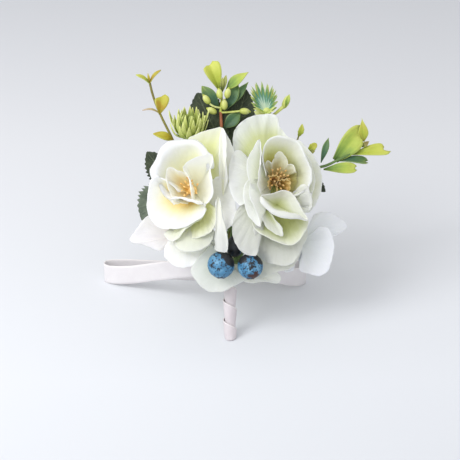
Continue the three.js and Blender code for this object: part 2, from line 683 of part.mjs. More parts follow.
const FLORETS = {
  right_floret: {
    flower: flowerFrame([31.5, 2, VIEW_HEIGHT - 5.9], [0.1, -1, 0.1]),
    finish: FLORET_WHITE,
    wire: [standing(OUTER_RING, 300), [8, -3, 40], [17, 3, 43], [27, 8, 44]],
    lobes: [
      { cup: 0.4, rim: [
        [302, 254, 1], [299, 268, 0], [306, 271.5, -1], [318.5, 274.4, -2], [325.4, 270.8, -2.5],
        [330, 261.8, -3], [332.4, 248, -3], [332, 239, -3], [327, 229, -2], [318, 227, -1],
      ] },
      { cup: 0.4, rim: [
        [313, 216, 5], [322, 213, 6], [332, 214.6, 7], [340, 219, 8], [344.6, 223.6, 8.5],
        [345.4, 228.6, 8], [340, 232.4, 7], [332, 235.4, 5],
      ] },
      { cup: 0.4, rim: [[296, 250, 2], [288, 256, 2], [282, 265, 1], [286, 271, 1], [294, 269, 1]] },
      { cup: 0.4, rim: [[294, 236, 4], [288, 229, 5], [292, 222, 5], [300, 225, 5]] },
    ],
  },
  left_floret: {
    flower: flowerFrame([-26.4, 3, VIEW_HEIGHT - 3.6], [-0.1, -1, 0.1]),
    finish: FLORET_PINK,
    wire: [standing(OUTER_RING, 240), [-7, -3, 40], [-15, 3, 43], [-22.5, 8, 45.5]],
    lobes: [
      { cup: 0.4, rim: [
        [167, 222, 3], [156, 215.5, 2], [147, 218, 1], [139, 228, 0], [131.4, 238.4, 0], [133, 242, 0],
        [139, 243, 0], [150, 246, 1], [160, 250, 2], [167, 247, 3],
      ] },
      { cup: 0.4, rim: [[176, 248, 3], [175, 256, 2], [170, 260, 2], [165, 255, 2], [166, 248, 3]] },
      { cup: 0.4, rim: [[166, 226, 4], [167, 216, 5], [175, 210, 5], [181, 216, 5], [180, 227, 4]] },
    ],
  },
  front_floret: {
    flower: flowerFrame([-2.6, GLUED_FLORET, 34.5], [-0.05, -1, 0]),
    finish: FLORET_WHITE,
    lobes: [
      { cup: 0.4, rim: [
        [213, 245, -8.6], [203.6, 253, -9.6], [197, 261, -10], [193, 270, -10], [196, 278.6, -9.6],
        [203.4, 286.8, -9.2], [213, 291, -9], [224, 289.8, -9], [233, 285, -8.6], [241, 281, -8.4],
        [247, 276, -8.2],
      ] },
      { cup: 0.4, rim: [
        [239, 276, -6.4], [243, 280.6, -6.5], [252, 282.4, -6.8], [262, 281, -7], [271, 282.4, -7],
        [277.6, 282.4, -6.8], [280, 278.4, -6.6], [277, 273, -6.4], [268, 269, -6.2],
      ] },
      { cup: 0.4, rim: [[212, 246, -8], [210, 238, -8], [216, 232, -8], [224, 236, -8]] },
    ],
  },
};

function floretWire({ flower, wire }, grow) {
  const bend = onAxis(flower, -6 * WIRE_RADIUS);
  const tip = onAxis(flower, HUB_THICKNESS / 2);
  return tube([...wire, [...bend], [...tip]], WIRE_RADIUS + grow, 10);
}

// Leaves: sheets folded along the midrib, toothed on the fabric ones

function leafSurface({ base, tip, facing = [0, -1, 0], wide, fold = 0.25, bow = 1.5, teeth = 0 }, grow) {
  const start = vec(...base);
  const along = vec(...tip).sub(start);
  const way = along.clone().normalize();
  const front = vec(...facing);
  const normal = front.addScaledVector(way, -front.dot(way)).normalize();
  const side = way.clone().cross(normal);
  return (u, v) => {
    const across = 2 * v - 1;
    const outline = Math.max(0.1, Math.sin(Math.PI * (0.06 + 0.9 * u) ** 0.85));
    const saw = teeth ? 1 - TOOTH_DEPTH * Math.abs(2 * ((u * teeth) % 1) - 1) : 1;
    const half = (wide / 2) * outline * saw + grow;
    return start.clone()
      .addScaledVector(along, u)
      .addScaledVector(way, u * grow)
      .addScaledVector(side, across * half)
      .addScaledVector(normal, fold * Math.abs(across) * half + bow * Math.sin(Math.PI * u));
  };
}

const FABRIC_LEAVES = {
  top_left_leaf: { base: [-3.6, 12.5, 88], tip: [-15.2, 12, 112.9], wide: 22, teeth: 11 },
  top_right_leaf: { base: [0.6, 14.5, 88], tip: [7.4, 13, 114.7], wide: 18, teeth: 11 },
  upper_left_leaf: { base: [-24.8, 12.5, 67.6], tip: [-38.8, 12, 85.6], wide: 15, teeth: 9 },
  lower_left_leaf: { base: [-25.5, 11.5, 66.5], tip: [-40.5, 10, 53.5], wide: 17, teeth: 8 },
  right_leaf: { base: [36.6, 9, 72.6], tip: [44, 8, 66.5], wide: 6, teeth: 4 },
};

const LEAF_WIRES = {
  top_leaf_wire: [standing(OUTER_RING, 90), [-1, 11, 60], [-1.6, 13.2, 86.5]],
  left_leaf_wire: [standing(OUTER_RING, 210), [-9, 1, 44], [-16, 10, 54], [-23.6, 12.5, 65.4]],
  right_leaf_wire: [standing(OUTER_RING, 330), [11, 2, 45], [24, 6, 54], [36, 9.6, 71.6]],
};

function fabricLeaf(leaf, grow) {
  return sheet(leafSurface(leaf, grow), 2 * leaf.teeth, 2, LEAF_THICKNESS + 2 * grow);
}

// Plastic sprigs: leaves and buds moulded on a stalk

function sprig({ stalks, leaves = [], buds = [] }, grow) {
  const stems = stalks.map((points) => tube(points, SPRIG_RADIUS + grow, 2 * points.length));
  const blades = leaves.map((leaf) =>
    sheet(leafSurface({ bow: 0.8, ...leaf }, grow), 3, 2, SPRIG_THICKNESS + 2 * grow));
  const tips = buds.map(({ at, axis = [0, 0, 1], radius = 1.5, long = 4 }) =>
    egg(at, vec(...axis).normalize(), radius + grow, long / 2 + grow, 6, 4));
  return join([...stems, ...blades, ...tips]);
}

// The stubs carry the two bending sprigs and stop just short of where they bend
const LEFT_STUB = [standing(OUTER_RING, 150), [-12, 11, 53], [-20, 13, 73], [-26, 8.4, 89.7]];
const RIGHT_STUB = [standing(OUTER_RING, 30), [14, 11, 50], [29, 13, 66], [40.9, 6.5, 77.7]];

const SPRIGS = {
  left_sprig: {
    stalks: [[[-26.4, 8, 90.5], [-29.4, 8, 97.1], [-32.6, 8, 102.8], [-34.7, 8, 108.6], [-36.9, 8, 116.1],
      [-37.6, 8, 119.4]]],
    leaves: [
      { base: [-37, 8, 115.4], tip: [-43.6, 7, 121.4], wide: 2.2 },
      { base: [-37.2, 8, 117], tip: [-31.3, 7, 123], wide: 2.2 },
      { base: [-37.5, 8, 117.5], tip: [-38.2, 7, 124], wide: 2.4 },
      { base: [-32.9, 8, 102.6], tip: [-29.2, 7, 110.6], wide: 6.4 },
      { base: [-33.4, 8, 104.4], tip: [-41, 7, 105.4], wide: 2.6 },
      { base: [-28.6, 8, 95.4], tip: [-36, 7, 94], wide: 4.5 },
    ],
  },
  right_sprig: {
    stalks: [[[41.7, 6, 78.1], [49.5, 6, 82.1], [56, 6, 85.2], [61.4, 6, 88.6]]],
    leaves: [
      { base: [43.6, 6, 79], tip: [45.6, 5, 92], wide: 3.4 },
      { base: [49, 6, 82], tip: [60.5, 5, 95.4], wide: 7.5 },
      { base: [60.8, 6, 88], tip: [61, 5, 101], wide: 5 },
      { base: [56, 6, 85], tip: [72.5, 5, 85.9], wide: 6 },
      { base: [50.4, 6, 82.5], tip: [63.4, 5, 79.8], wide: 4.6 },
      { base: [44.2, 6, 79.2], tip: [58.4, 5, 76.6], wide: 5.5 },
    ],
  },
  centre_sprig: {
    stalks: [
      [standing(INNER_RING, 90), [-0.5, 7.6, 58], [-3.5, 9, 84], [-4.4, 8, 97.1], [-4.4, 8, 103.8],
        [-3.9, 8, 114.5]],
      [[-4.4, 8, 103], [0.5, 6.6, 103.2], [6.2, 6, 104]],
      [[-4.4, 8, 105], [-8, 6.4, 106], [-10.6, 6, 109]],
    ],
    leaves: [
      { base: [-4, 8, 112.6], tip: [-11, 7, 125.8], wide: 5.6 },
      { base: [-3.9, 8, 112.4], tip: [8.6, 7, 122], wide: 5 },
      { base: [-3.9, 8, 113.4], tip: [-2.6, 7, 120.4], wide: 2.4 },
      { base: [-4.4, 8, 104.4], tip: [-13.4, 9, 115.6], wide: 5 },
      { base: [-4.4, 8, 103.4], tip: [8.6, 9, 117.4], wide: 5 },
      { base: [-4.4, 8, 102.4], tip: [3.9, 7, 95.6], wide: 6 },
    ],
    buds: [
      { at: [-5.2, 6.6, 112.1] },
      { at: [-2.2, 6.6, 112.1] },
      { at: [-3.2, 6.6, 106.6] },
      { at: [-10.8, 5.8, 109.5] },
      { at: [-7.4, 6.2, 105] },
      { at: [6.7, 5.8, 104.2] },
    ],
  },
  back_pick: {
    stalks: [[standing(INNER_RING, 0), [7, 7, 58], [20, 9.5, 76], [30, 8, 88], [31.6, 7.6, 92.4]]],
    leaves: [
      { base: [30.6, 7.8, 90.6], tip: [32.8, 7, 99], wide: 3.4 },
      { base: [28.6, 8.4, 86.6], tip: [39.6, 7, 88.4], wide: 4.6 },
    ],
  },
};

// Spiky flowers: tiers of narrow blades on a cone, each on its own stem

const CONE_RADIUS = 1.6;
const CONE_HEIGHT = 3;

function spikes({ base, facing, tiers }, grow) {
  const flower = flowerFrame(base, facing);
  const profile = [[0, -CONE_HEIGHT / 2 - grow], [CONE_RADIUS + grow, 0], [0, CONE_HEIGHT + grow]];
  const blades = [];
  for (const { count, lean, long, wide, first = 0, span = 360 * (1 - 1 / count) } of tiers) {
    for (let i = 0; i < count; i++) {
      const out = outwards(flower, radians(first + (span * i) / (count - 1)));
      const root = onAxis(flower, CONE_HEIGHT / 4).addScaledVector(out, CONE_RADIUS / 2);
      const tip = root.clone().addScaledVector(leaning(flower, out, radians(lean)), long);
      const inward = leaning(flower, out, radians(lean) - Math.PI / 2);
      const blade = { base: [...root], tip: [...tip], facing: [...inward], wide, bow: -0.6 };
      blades.push(sheet(leafSurface(blade, grow), 2, 1, BLADE_THICKNESS + 2 * grow));
    }
  }
  return join([turned(profile, flower.base, flower.axis, 8), ...blades]);
}

const SPIKY_FLOWERS = {
  spiky_flower: {
    base: [-18.6, 8, 91.8],
    facing: [-0.02, -0.35, 0.94],
    tiers: [
      { count: 9, lean: 46, long: 12, wide: 3.2 },
      { count: 8, lean: 28, long: 14, wide: 3, first: 20 },
      { count: 5, lean: 10, long: 14, wide: 2.6 },
    ],
  },
  spiky_cup: {
    base: [17, 6, 103.4],
    facing: [-0.3, -0.78, 0.55],
    tiers: [
      { count: 8, lean: 36, long: 12.5, wide: 4.2, first: -115, span: 230 },
      { count: 3, lean: 42, long: 7.5, wide: 4, first: 145, span: 70 },
    ],
  },
};

const SPIKY_STEMS = {
  spiky_flower_stem: {
    stalks: [[standing(OUTER_RING, 120), [-5, 11, 55], [-11, 12, 74], [-18.3, 8.8, 89.4]]],
  },
  spiky_cup_stem: {
    stalks: [
      [standing(OUTER_RING, 60), [7, 11, 55], [13, 12.5, 79], [17.3, 7.6, 101.2]],
      [[16.6, 8, 99.6], [21, 6.6, 102.7], [25, 6, 106.4]],
    ],
    leaves: [{ base: [16.8, 7.6, 100.6], tip: [11, 5, 103.4], wide: 3.4 }],
    buds: [{ at: [25.7, 6, 107.8], axis: [0.45, 0, 1], radius: 1.7, long: 6.4 }],
  },
};

// Berries hang from the end of one pick on thin necks

const PICK_END = [2.2, -9.4, 50.6];
const BERRY_PICK = [standing(INNER_RING, 270), [0.4, -1.6, 44], [1.4, -5, 50], PICK_END];
const LEFT_BERRY = [-4, -15, 33.6];
const RIGHT_BERRY = [9, -15, 33];
const DARK_BERRY = [2.2, -9.2, 42];
const NECK_SPACING = WIRE_RADIUS + FIT_GAP + NECK_RADIUS;
const SWAY = 12;
const SWAY_STEPS = 6;

const neckRoot = (side) => [PICK_END[0] + side * NECK_SPACING, PICK_END[1], PICK_END[2]];

// A berry needs the room of its whole swing outwards
function swaying(side) {
  const root = neckRoot(side);
  return (grown) => {
    const hung = grown.translate(root.map((value) => -value));
    const swings = [];
    for (let i = 0; i <= SWAY_STEPS; i++) {
      swings.push(hung.rotate([0, (-side * SWAY * i) / SWAY_STEPS, 0]).translate(root));
    }
    return join(swings);
  };
}

function berry(centre, radius, grow) {
  const crown = ring(0.18 * radius, 0.32 * radius, -1.04 * radius, -0.9 * radius);
  const body = egg(centre, UP, radius + grow, radius + grow, 14, 8);
  return body.add(turned(crown, centre, UP, 10));
}

function neck(side, centre, radius, grow) {
  const root = neckRoot(side);
  const top = [centre[0], centre[1], centre[2] + radius + FIT_GAP];
  const middle = root.map((value, k) => (value + 2 * top[k]) / 3);
  middle[2] += (root[2] - top[2]) / 4;
  return tube([root, middle, top], NECK_RADIUS + grow, 5);
}

function darkBerry(grow) {
  const top = [DARK_BERRY[0], DARK_BERRY[1], PICK_END[2] - WIRE_RADIUS - FIT_GAP];
  const body = egg(DARK_BERRY, UP, DARK_BERRY_RADIUS + grow, DARK_BERRY_LENGTH / 2 + grow, 12, 8);
  return body.add(tube([DARK_BERRY, top], NECK_RADIUS + grow, 1));
}

// Everything that is stiff and slender goes in first, then petals from the inside out, then leaves

place('stem_core', FELT_WHITE, stemCore);
place('stem_ribbon_wrap', SATIN_PINK, stemWrap);
place('binding', TAPE_GREEN, binding);
place('wrist_pad', FELT_WHITE, pad);
place('left_rose_wire', WIRE_GREEN, (grow) => roseWire(LEFT_ROSE, grow));
place('right_rose_wire', WIRE_GREEN, (grow) => roseWire(RIGHT_ROSE, grow));
for (const [name, floret] of Object.entries(FLORETS)) {
  if (floret.wire) place(`${name}_wire`, WIRE_GREEN, (grow) => floretWire(floret, grow));
}
for (const [name, points] of Object.entries(LEAF_WIRES)) {
  place(name, WIRE_GREEN, (grow) => tube(points, WIRE_RADIUS + grow, 9));
}
place('left_sprig_stub', WIRE_GREEN, (grow) => tube(LEFT_STUB, SPRIG_RADIUS + grow, 9));
place('right_sprig_stub', WIRE_GREEN, (grow) => tube(RIGHT_STUB, SPRIG_RADIUS + grow, 9));
place('berry_pick', WIRE_GREEN, (grow) => tube(BERRY_PICK, WIRE_RADIUS + grow, 8));
place('left_berry', BERRY_BLUE, (grow) => berry(LEFT_BERRY, LEFT_BERRY_RADIUS, grow), swaying(-1));
place('right_berry', BERRY_BLUE, (grow) => berry(RIGHT_BERRY, RIGHT_BERRY_RADIUS, grow), swaying(1));
place('dark_berry', BERRY_DARK, darkBerry);
place('left_berry_neck', WIRE_GREEN,
  (grow) => neck(-1, LEFT_BERRY, LEFT_BERRY_RADIUS, grow), swaying(-1));
place('right_berry_neck', WIRE_GREEN,
  (grow) => neck(1, RIGHT_BERRY, RIGHT_BERRY_RADIUS, grow), swaying(1));
for (const [name, parts] of Object.entries({ ...SPIKY_STEMS, ...SPRIGS })) {
  place(name, SPRIG_GREEN, (grow) => sprig(parts, grow));
}
for (const [name, parts] of Object.entries(SPIKY_FLOWERS)) {
  place(name, SPIKY_GREEN, (grow) => spikes(parts, grow));
}
placePetals('left', LEFT_ROSE);
placePetals('right', RIGHT_ROSE);
for (const [name, { flower, lobes, ...floret }] of Object.entries(FLORETS)) {
  place(name, floret.finish, (grow) => whorl(flower, 0, lobes, grow));
}
for (const [name, leaf] of Object.entries(FABRIC_LEAVES)) {
  place(name, DARK_LEAF, (grow) => fabricLeaf(leaf, grow));
}

// Wrist ribbon: laid out over the table, so these pieces aren't in the leaning group

const leanBack = new THREE.Matrix4().makeRotationX(-radians(LEAN));
const leaned = (x, y, z) => vec(x, y, z).applyMatrix4(leanBack);
const RIBBON_BACK = PAD_FRONT + PAD_THICKNESS + FIT_GAP + RIBBON_THICKNESS / 2;
const EDGE = RIBBON_WIDTH / 2;
const ON_PAD = leaned(0, RIBBON_BACK, BINDING_MIDDLE);
const STEM_WAY = leaned(0, 0, 1);
const LEFT_LOOP = [[-18, 28, 20.5], [-32, 34.5, 14.5], [-47, 41.5, 8.2], [-57, 46, 5.4], [-60.3, 49.3, EDGE],
  [-57.5, 52.3, EDGE], [-45, 52.5, EDGE], [-25, 50.5, EDGE]];
const RIGHT_LOOP = [[16, 28.4, 19], [23, 34, 13], [30.5, 40.5, 7.5], [35, 45.3, 5.3], [36.3, 48.6, EDGE],
  [33.5, 51.2, EDGE], [24, 51.3, EDGE], [8, 50.2, EDGE]];
const KNOT = [-8, 49.5, EDGE];

// The ribbon lies flat on the pad, and its short free ends there turn upright before the loop's halves
function bridgeSurface(u, v) {
  const x = BRIDGE_REACH * (2 * u - 1);
  const upright = THREE.MathUtils.smoothstep(Math.abs(x), PAD_RADIUS, BRIDGE_REACH);
  const across = STEM_WAY.clone().lerp(UP, upright).normalize();
  return vec(x, ON_PAD.y + upright, ON_PAD.z).addScaledVector(across, RIBBON_WIDTH * (v - 0.5));
}

function ribbonHalf(side, loop) {
  const start = bridgeSurface((side + 1) / 2, 0.5).add(vec(side * 2 * FIT_GAP, 0, 0));
  const end = [KNOT[0] + side * (KNOT_LENGTH / 2 + FIT_GAP), KNOT[1], KNOT[2]];
  const curve = new THREE.CatmullRomCurve3([[...start], ...loop, end].map((p) => vec(...p)));
  const surface = (u, v) => curve.getPointAt(u).addScaledVector(UP, RIBBON_WIDTH * (v - 0.5));
  return sheet(surface, 32, 1, RIBBON_THICKNESS);
}

show(corsage, 'ribbon_bridge', SATIN_PINK, sheet(bridgeSurface, 12, 1, RIBBON_THICKNESS));
show(corsage, 'wrist_ribbon_left', SATIN_PINK, ribbonHalf(-1, LEFT_LOOP));
show(corsage, 'wrist_ribbon_right', SATIN_PINK, ribbonHalf(1, RIGHT_LOOP));
show(corsage, 'ribbon_knot', SATIN_PINK, egg(KNOT, UP, KNOT_LENGTH / 2, KNOT_HEIGHT / 2, 10, 6));

console.log(`least gap between the turns of the stem's ribbon: ${wrapGap().toFixed(2)} mm`);

export default corsage;
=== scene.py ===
# %% [markdown]
# # A wrist corsage
# Two open silk roses stand in front of moulded sprigs and toothed velvet leaves. Small florets fill the
# gaps, two speckled foam berries hang at the front, and a stem wrapped in satin ribbon carries it all.
# The frame holds one plain solid for each piece. This lesson dresses them one after the other.

# %% Load the plain solids
import json
import math

import bpy
from mathutils import Matrix, Vector, noise

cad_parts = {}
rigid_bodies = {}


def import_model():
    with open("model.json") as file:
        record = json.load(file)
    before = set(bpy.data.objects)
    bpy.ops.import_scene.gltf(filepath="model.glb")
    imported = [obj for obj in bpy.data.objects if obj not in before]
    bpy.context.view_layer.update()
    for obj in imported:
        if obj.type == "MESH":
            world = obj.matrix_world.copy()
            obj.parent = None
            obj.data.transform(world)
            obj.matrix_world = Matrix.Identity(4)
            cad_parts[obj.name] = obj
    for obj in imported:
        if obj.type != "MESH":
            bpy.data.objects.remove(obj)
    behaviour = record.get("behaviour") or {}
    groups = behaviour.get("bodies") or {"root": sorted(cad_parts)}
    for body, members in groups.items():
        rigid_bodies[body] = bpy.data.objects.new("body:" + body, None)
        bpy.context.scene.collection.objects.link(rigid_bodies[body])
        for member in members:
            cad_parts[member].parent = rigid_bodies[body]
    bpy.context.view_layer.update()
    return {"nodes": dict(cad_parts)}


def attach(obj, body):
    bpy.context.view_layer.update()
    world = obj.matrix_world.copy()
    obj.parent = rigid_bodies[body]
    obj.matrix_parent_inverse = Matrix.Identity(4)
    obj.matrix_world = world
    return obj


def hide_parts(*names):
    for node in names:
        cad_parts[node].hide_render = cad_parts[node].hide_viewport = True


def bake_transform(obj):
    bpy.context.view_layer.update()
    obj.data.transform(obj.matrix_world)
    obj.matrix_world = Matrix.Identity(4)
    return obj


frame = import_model()
scene = bpy.context.scene
bpy.ops.object.select_all(action="DESELECT")

# %% [markdown]
# ## The bouquet's own frame
# The corsage stands on its stem and leans back by 30 degrees. It is easier to think of it upright, with Z
# up the stem and Y to the back, in millimetres. One matrix then leans each finished piece back and turns
# millimetres into metres.

# %% Lean the bouquet back
LEAN = math.radians(30)
MM = 0.001
LEANED = Matrix.Rotation(-LEAN, 4, "X") @ Matrix.Scale(MM, 4)
TABLE = Matrix.Scale(MM, 4)
print("tip of the stem axis:", [round(c, 3) for c in LEANED @ Vector((0, 0, 100))])

# %% [markdown]
# ## Camera
# The photograph looks down at about the same 30 degrees, so the camera faces the upright bouquet squarely.
# That makes reading shapes off the picture simple: a pixel and a depth in front of or behind the stem give
# one point of the bouquet.

# %% Camera
DISTANCE, AIM_HEIGHT = 700, 49.1
FOCAL_PIXELS, PICTURE, SENSOR = 1540, 460, 36
bpy.ops.object.camera_add(location=LEANED @ Vector((0, -DISTANCE, AIM_HEIGHT)),
                          rotation=(math.pi / 2 - LEAN, 0, 0))
camera = bpy.context.object
camera.data.sensor_width = SENSOR
camera.data.lens = FOCAL_PIXELS / PICTURE * SENSOR
scene.camera = camera


def seen(across, down, depth):
    """The upright bouquet's point at a pixel of the picture, `depth` millimetres behind the stem's axis"""
    scale = (DISTANCE + depth) / FOCAL_PIXELS
    return Vector(((across - PICTURE / 2) * scale, depth, AIM_HEIGHT + (PICTURE / 2 - down) * scale))


print("lens:", round(camera.data.lens, 1), "mm; picture's middle:", list(seen(PICTURE / 2, PICTURE / 2, 0)))

# %% [markdown]
# ## Light
# A product picture like this is lit by a soft window. One lamp stands to the left like that window, and a
# larger one in front and above fills the shadows.

# %% Lamps
scene.view_settings.view_transform = "Standard"


def soft_lamp(name, place, aim, size, watts):
    bpy.ops.object.light_add(type="AREA", location=place)
    lamp = bpy.context.object
    lamp.name = name
    lamp.rotation_euler = (Vector(aim) - Vector(place)).to_track_quat("-Z", "Y").to_euler()
    lamp.data.size = size
    lamp.data.energy = watts


LAMP_AIM = (0, 0.03, 0.05)
soft_lamp("window", (-0.5, -0.25, 0.6), LAMP_AIM, 0.4, 3.3)
soft_lamp("front_fill", (-0.3, -0.95, 1.0), LAMP_AIM, 1.2, 4.1)

# %% [markdown]
# A pale world lifts the shadows that are left. The camera, mirrors and glass see a second, plain white one
# instead: the light path tells which kind of ray is asking.

# %% World
world = bpy.data.worlds.new("studio")
world.use_nodes = True
nodes, links = world.node_tree.nodes, world.node_tree.links
room = nodes["Background"]
room.inputs["Color"].default_value = (0.98, 0.98, 1.0, 1)
room.inputs["Strength"].default_value = 0.71
backdrop = nodes.new("ShaderNodeBackground")
backdrop.inputs["Color"].default_value = (1, 1, 1, 1)
path = nodes.new("ShaderNodeLightPath")
shown = path.outputs["Is Camera Ray"]
for kind in ("Is Glossy Ray", "Is Transmission Ray"):
    larger = nodes.new("ShaderNodeMath")
    larger.operation = "MAXIMUM"
    links.new(shown, larger.inputs[0])
    links.new(path.outputs[kind], larger.inputs[1])
    shown = larger.outputs[0]
either = nodes.new("ShaderNodeMixShader")
links.new(shown, either.inputs[0])
links.new(room.outputs[0], either.inputs[1])
links.new(backdrop.outputs[0], either.inputs[2])
links.new(either.outputs[0], nodes["World Output"].inputs["Surface"])
scene.world = world
print("world:", world.name, "with", len(nodes), "nodes")

# %% [markdown]
# ## Writing finishes as sums
# A finish is a small sum: so much of one colour, less where a noise is high, more towards the rim. The class
# below wraps one socket of a material, so that such sums can be written with ordinary signs. Its method
# `node` adds any other node, with its settings first and its inputs after.

# %% Sockets that can be added and multiplied


def rgb(code):
    """A colour written as in a paint program, as the linear numbers that the shader takes"""
    parts = [int(code[i:i + 2], 16) / 255 for i in (1, 3, 5)]
    return (*[p / 12.92 if p <= 0.04045 else ((p + 0.055) / 1.055) ** 2.4 for p in parts], 1)


class Shade:
    """One output socket of a material's nodes"""

    def __init__(self, tree, socket):
        self.tree, self.socket = tree, socket

    def node(self, kind, settings=None, inputs=None, output=0):
        made = self.tree.nodes.new(kind)
        for key, value in (settings or {}).items():
            if key == "stops":
                ramp = made.color_ramp
                while len(ramp.elements) < len(value):
                    ramp.elements.new(1)
                for element, (position, code) in zip(ramp.elements, value):
                    element.position, element.color = position, rgb(code)
            else:
                setattr(made, key, value)
        for key, value in (inputs or {}).items():
            if isinstance(value, Shade):
                self.tree.links.new(value.socket, made.inputs[key])
            else:
                made.inputs[key].default_value = value
        return Shade(self.tree, made.outputs[output])

    def math(self, operation, *values):
        return self.node("ShaderNodeMath", {"operation": operation}, dict(enumerate(values)))

    def __add__(self, other):
        return self.math("ADD", self, other)

    def __sub__(self, other):
        return self.math("SUBTRACT", self, other)

    def __rsub__(self, other):
        return self.math("SUBTRACT", other, self)

    def __mul__(self, other):
        return self.math("MULTIPLY", self, other)

    def __rmul__(self, other):
        return self.math("MULTIPLY", other, self)

    def ramp(self, *stops):
        return self.node("ShaderNodeValToRGB", {"stops": stops}, {"Fac": self})

    def between(self, low, high):
        """0 below `low`, 1 above `high`, and even in between"""
        return self.node("ShaderNodeMapRange", {"clamp": True},
                         {"Value": self, "From Min": low, "From Max": high})

    def size(self):
        """The value without its sign"""
        return self.math("ABSOLUTE", self)

    def mixed(self, first, second):
        """The first colour where this is 0 and the second where it is 1"""
        return self.node("ShaderNodeMix", {"data_type": "RGBA"}, {0: self, 6: first, 7: second}, 2)


print("a finish is written with", [name for name in vars(Shade) if not name.startswith("__")])

# %% [markdown]
# Every finish starts from the same few things: where a point is on the piece, how far along and across its
# sheet it is, and noises of several grains. A helper hands those out and plugs in the colour and the bump.

# %% Start a finish


class Finish:
    """A material with its shader, and the sockets that its sums start from"""

    def __init__(self, name, roughness, **fixed):
        self.material = bpy.data.materials.new(name)
        self.material.use_nodes = True
        self.tree = self.material.node_tree
        self.shader = self.tree.nodes["Principled BSDF"]
        self.shader.inputs["Roughness"].default_value = roughness
        for key, value in fixed.items():
            self.shader.inputs[key.replace("_", " ")].default_value = value
        start = self.tree.nodes.new("ShaderNodeTexCoord")
        self.spot = Shade(self.tree, start.outputs["Object"])
        sheet = Shade(self.tree, start.outputs["UV"])
        self.across = sheet.node("ShaderNodeSeparateXYZ", {}, {0: sheet}, "X")
        self.along = sheet.node("ShaderNodeSeparateXYZ", {}, {0: sheet}, "Y")

    def grain(self, size, detail=3, where=None):
        """A noise with patches about `size` metres across"""
        return self.spot.node("ShaderNodeTexNoise", {}, {"Vector": where or self.spot, "Scale": 1 / size,
                                                         "Detail": detail}, "Fac")

    def streaks(self, count, length=2.0):
        """Lines that run along the sheet"""
        way = self.across.node("ShaderNodeCombineXYZ", {}, {0: self.across * count, 1: self.along * length})
        return self.grain(1, 2, way)

    def colour(self, shade):
        self.tree.links.new(shade.socket, self.shader.inputs["Base Color"])

    def bump(self, height, depth, strength):
        raised = height.node("ShaderNodeBump", {},
                             {"Height": height, "Distance": depth, "Strength": strength})
        self.tree.links.new(raised.socket, self.shader.inputs["Normal"])


print("a finish offers", [name for name in vars(Finish) if not name.startswith("__")])

# %% [markdown]
# The floor is the first thing to get a finish: pale paper with painted shade that darkens it towards the
# back and a little at the very front.

# %% Floor
NEAR, FAR = -0.12, 0.75
floor_finish = Finish("floor_paper", 0.75)
distance = floor_finish.spot.node("ShaderNodeSeparateXYZ", {}, {0: floor_finish.spot}, "Y")
# Painted shade: the paper's colour darkens towards the back and a little at the near edge.
floor_finish.colour(distance.between(NEAR, FAR).ramp(
    (0, "#dadde2"), (0.1, "#e1e4e9"), (0.36, "#dfe1e5"), (1, "#bfc2c7")))
bpy.ops.mesh.primitive_plane_add(size=8)
floor = bpy.context.object
floor.name = "floor"
floor.data.materials.append(floor_finish.material)
print("floor:", floor.dimensions.x, "m wide")

# %% [markdown]
# ## Tools for sheets
# The rim of a petal and the line of a ribbon are smooth curves through a few points. This helper walks
# along such a curve in even steps.

# %% Even steps along a curve
SPAN_STEPS = 10


def evenly(points, count):
    """Points at even steps along a smooth curve through the given ones"""
    known = [Vector(p) for p in points]
    fine = []
    for i in range(len(known) - 1):
        before, start, end, after = (known[min(max(k, 0), len(known) - 1)] for k in (i - 1, i, i + 1, i + 2))
        for step in range(SPAN_STEPS):
            t = step / SPAN_STEPS
            slope, bend = end - before, 2 * before - 5 * start + 4 * end - after
            twist = 3 * start - before - 3 * end + after
            fine.append(0.5 * (2 * start + slope * t + bend * t ** 2 + twist * t ** 3))
    fine.append(known[-1])
    lengths = [0.0]
    for a, b in zip(fine, fine[1:]):
        lengths.append(lengths[-1] + (b - a).length)
    even, k = [], 0
    for step in range(count):
        wanted = lengths[-1] * step / (count - 1)
        while k < len(fine) - 2 and lengths[k + 1] < wanted:
            k += 1
        share = (wanted - lengths[k]) / max(1e-9, lengths[k + 1] - lengths[k])
        even.append(fine[k].lerp(fine[k + 1], share))
    return even


print("steps along a line:", [round(p.x, 2) for p in evenly([(0, 0, 0), (1, 0, 0), (3, 0, 0)], 4)])

# %% [markdown]
# Silk petals, leaves and ribbons are all thin sheets. Each starts as a flat grid, whose points are then
# moved onto a curved surface. Solidify gives the cloth its thickness. Working on a grid keeps the along and
# across directions for the finish, such as the yellow throat of a petal.

# %% Sheets from grids


def grid_sheet(rows, columns, surface, thickness, finish):
    """A thin sheet on surface(along, across), which both run from 0 to 1"""
    bpy.ops.mesh.primitive_grid_add(x_subdivisions=columns, y_subdivisions=rows, size=1)
    sheet = bpy.context.object
    for point in sheet.data.vertices:
        point.co = surface(point.co.y + 0.5, point.co.x + 0.5)
    thick = sheet.modifiers.new("thickness", "SOLIDIFY")
    thick.thickness, thick.offset = thickness, 0
    bpy.ops.object.modifier_apply(modifier="thickness")
    bpy.ops.object.shade_smooth()
    sheet.data.materials.append(finish.material)
    return sheet


def cloth_area(piece):
    """Square metres of one side of a thin sheet"""
    return sum(face.area for face in piece.data.polygons) / 2


print("sheet tools:", grid_sheet.__name__, cloth_area.__name__)

# %% [markdown]
# A finished piece is joined from its parts and moved to its place in the scene. Then it is told which body
# it moves with and which plain solids it stands for.

# %% Join and dress


def joined(name, pieces, place=LEANED):
    """One named piece out of several, moved from millimetres to its place in the scene"""
    bpy.ops.object.select_all(action="DESELECT")
    for piece in pieces:
        piece.select_set(True)
    bpy.context.view_layer.objects.active = pieces[0]
    if len(pieces) > 1:
        bpy.ops.object.join()
    whole = bpy.context.object
    bpy.ops.object.transform_apply(location=True, rotation=True, scale=True)
    whole.name = name
    whole.data.transform(place)
    bpy.ops.object.select_all(action="DESELECT")
    return whole


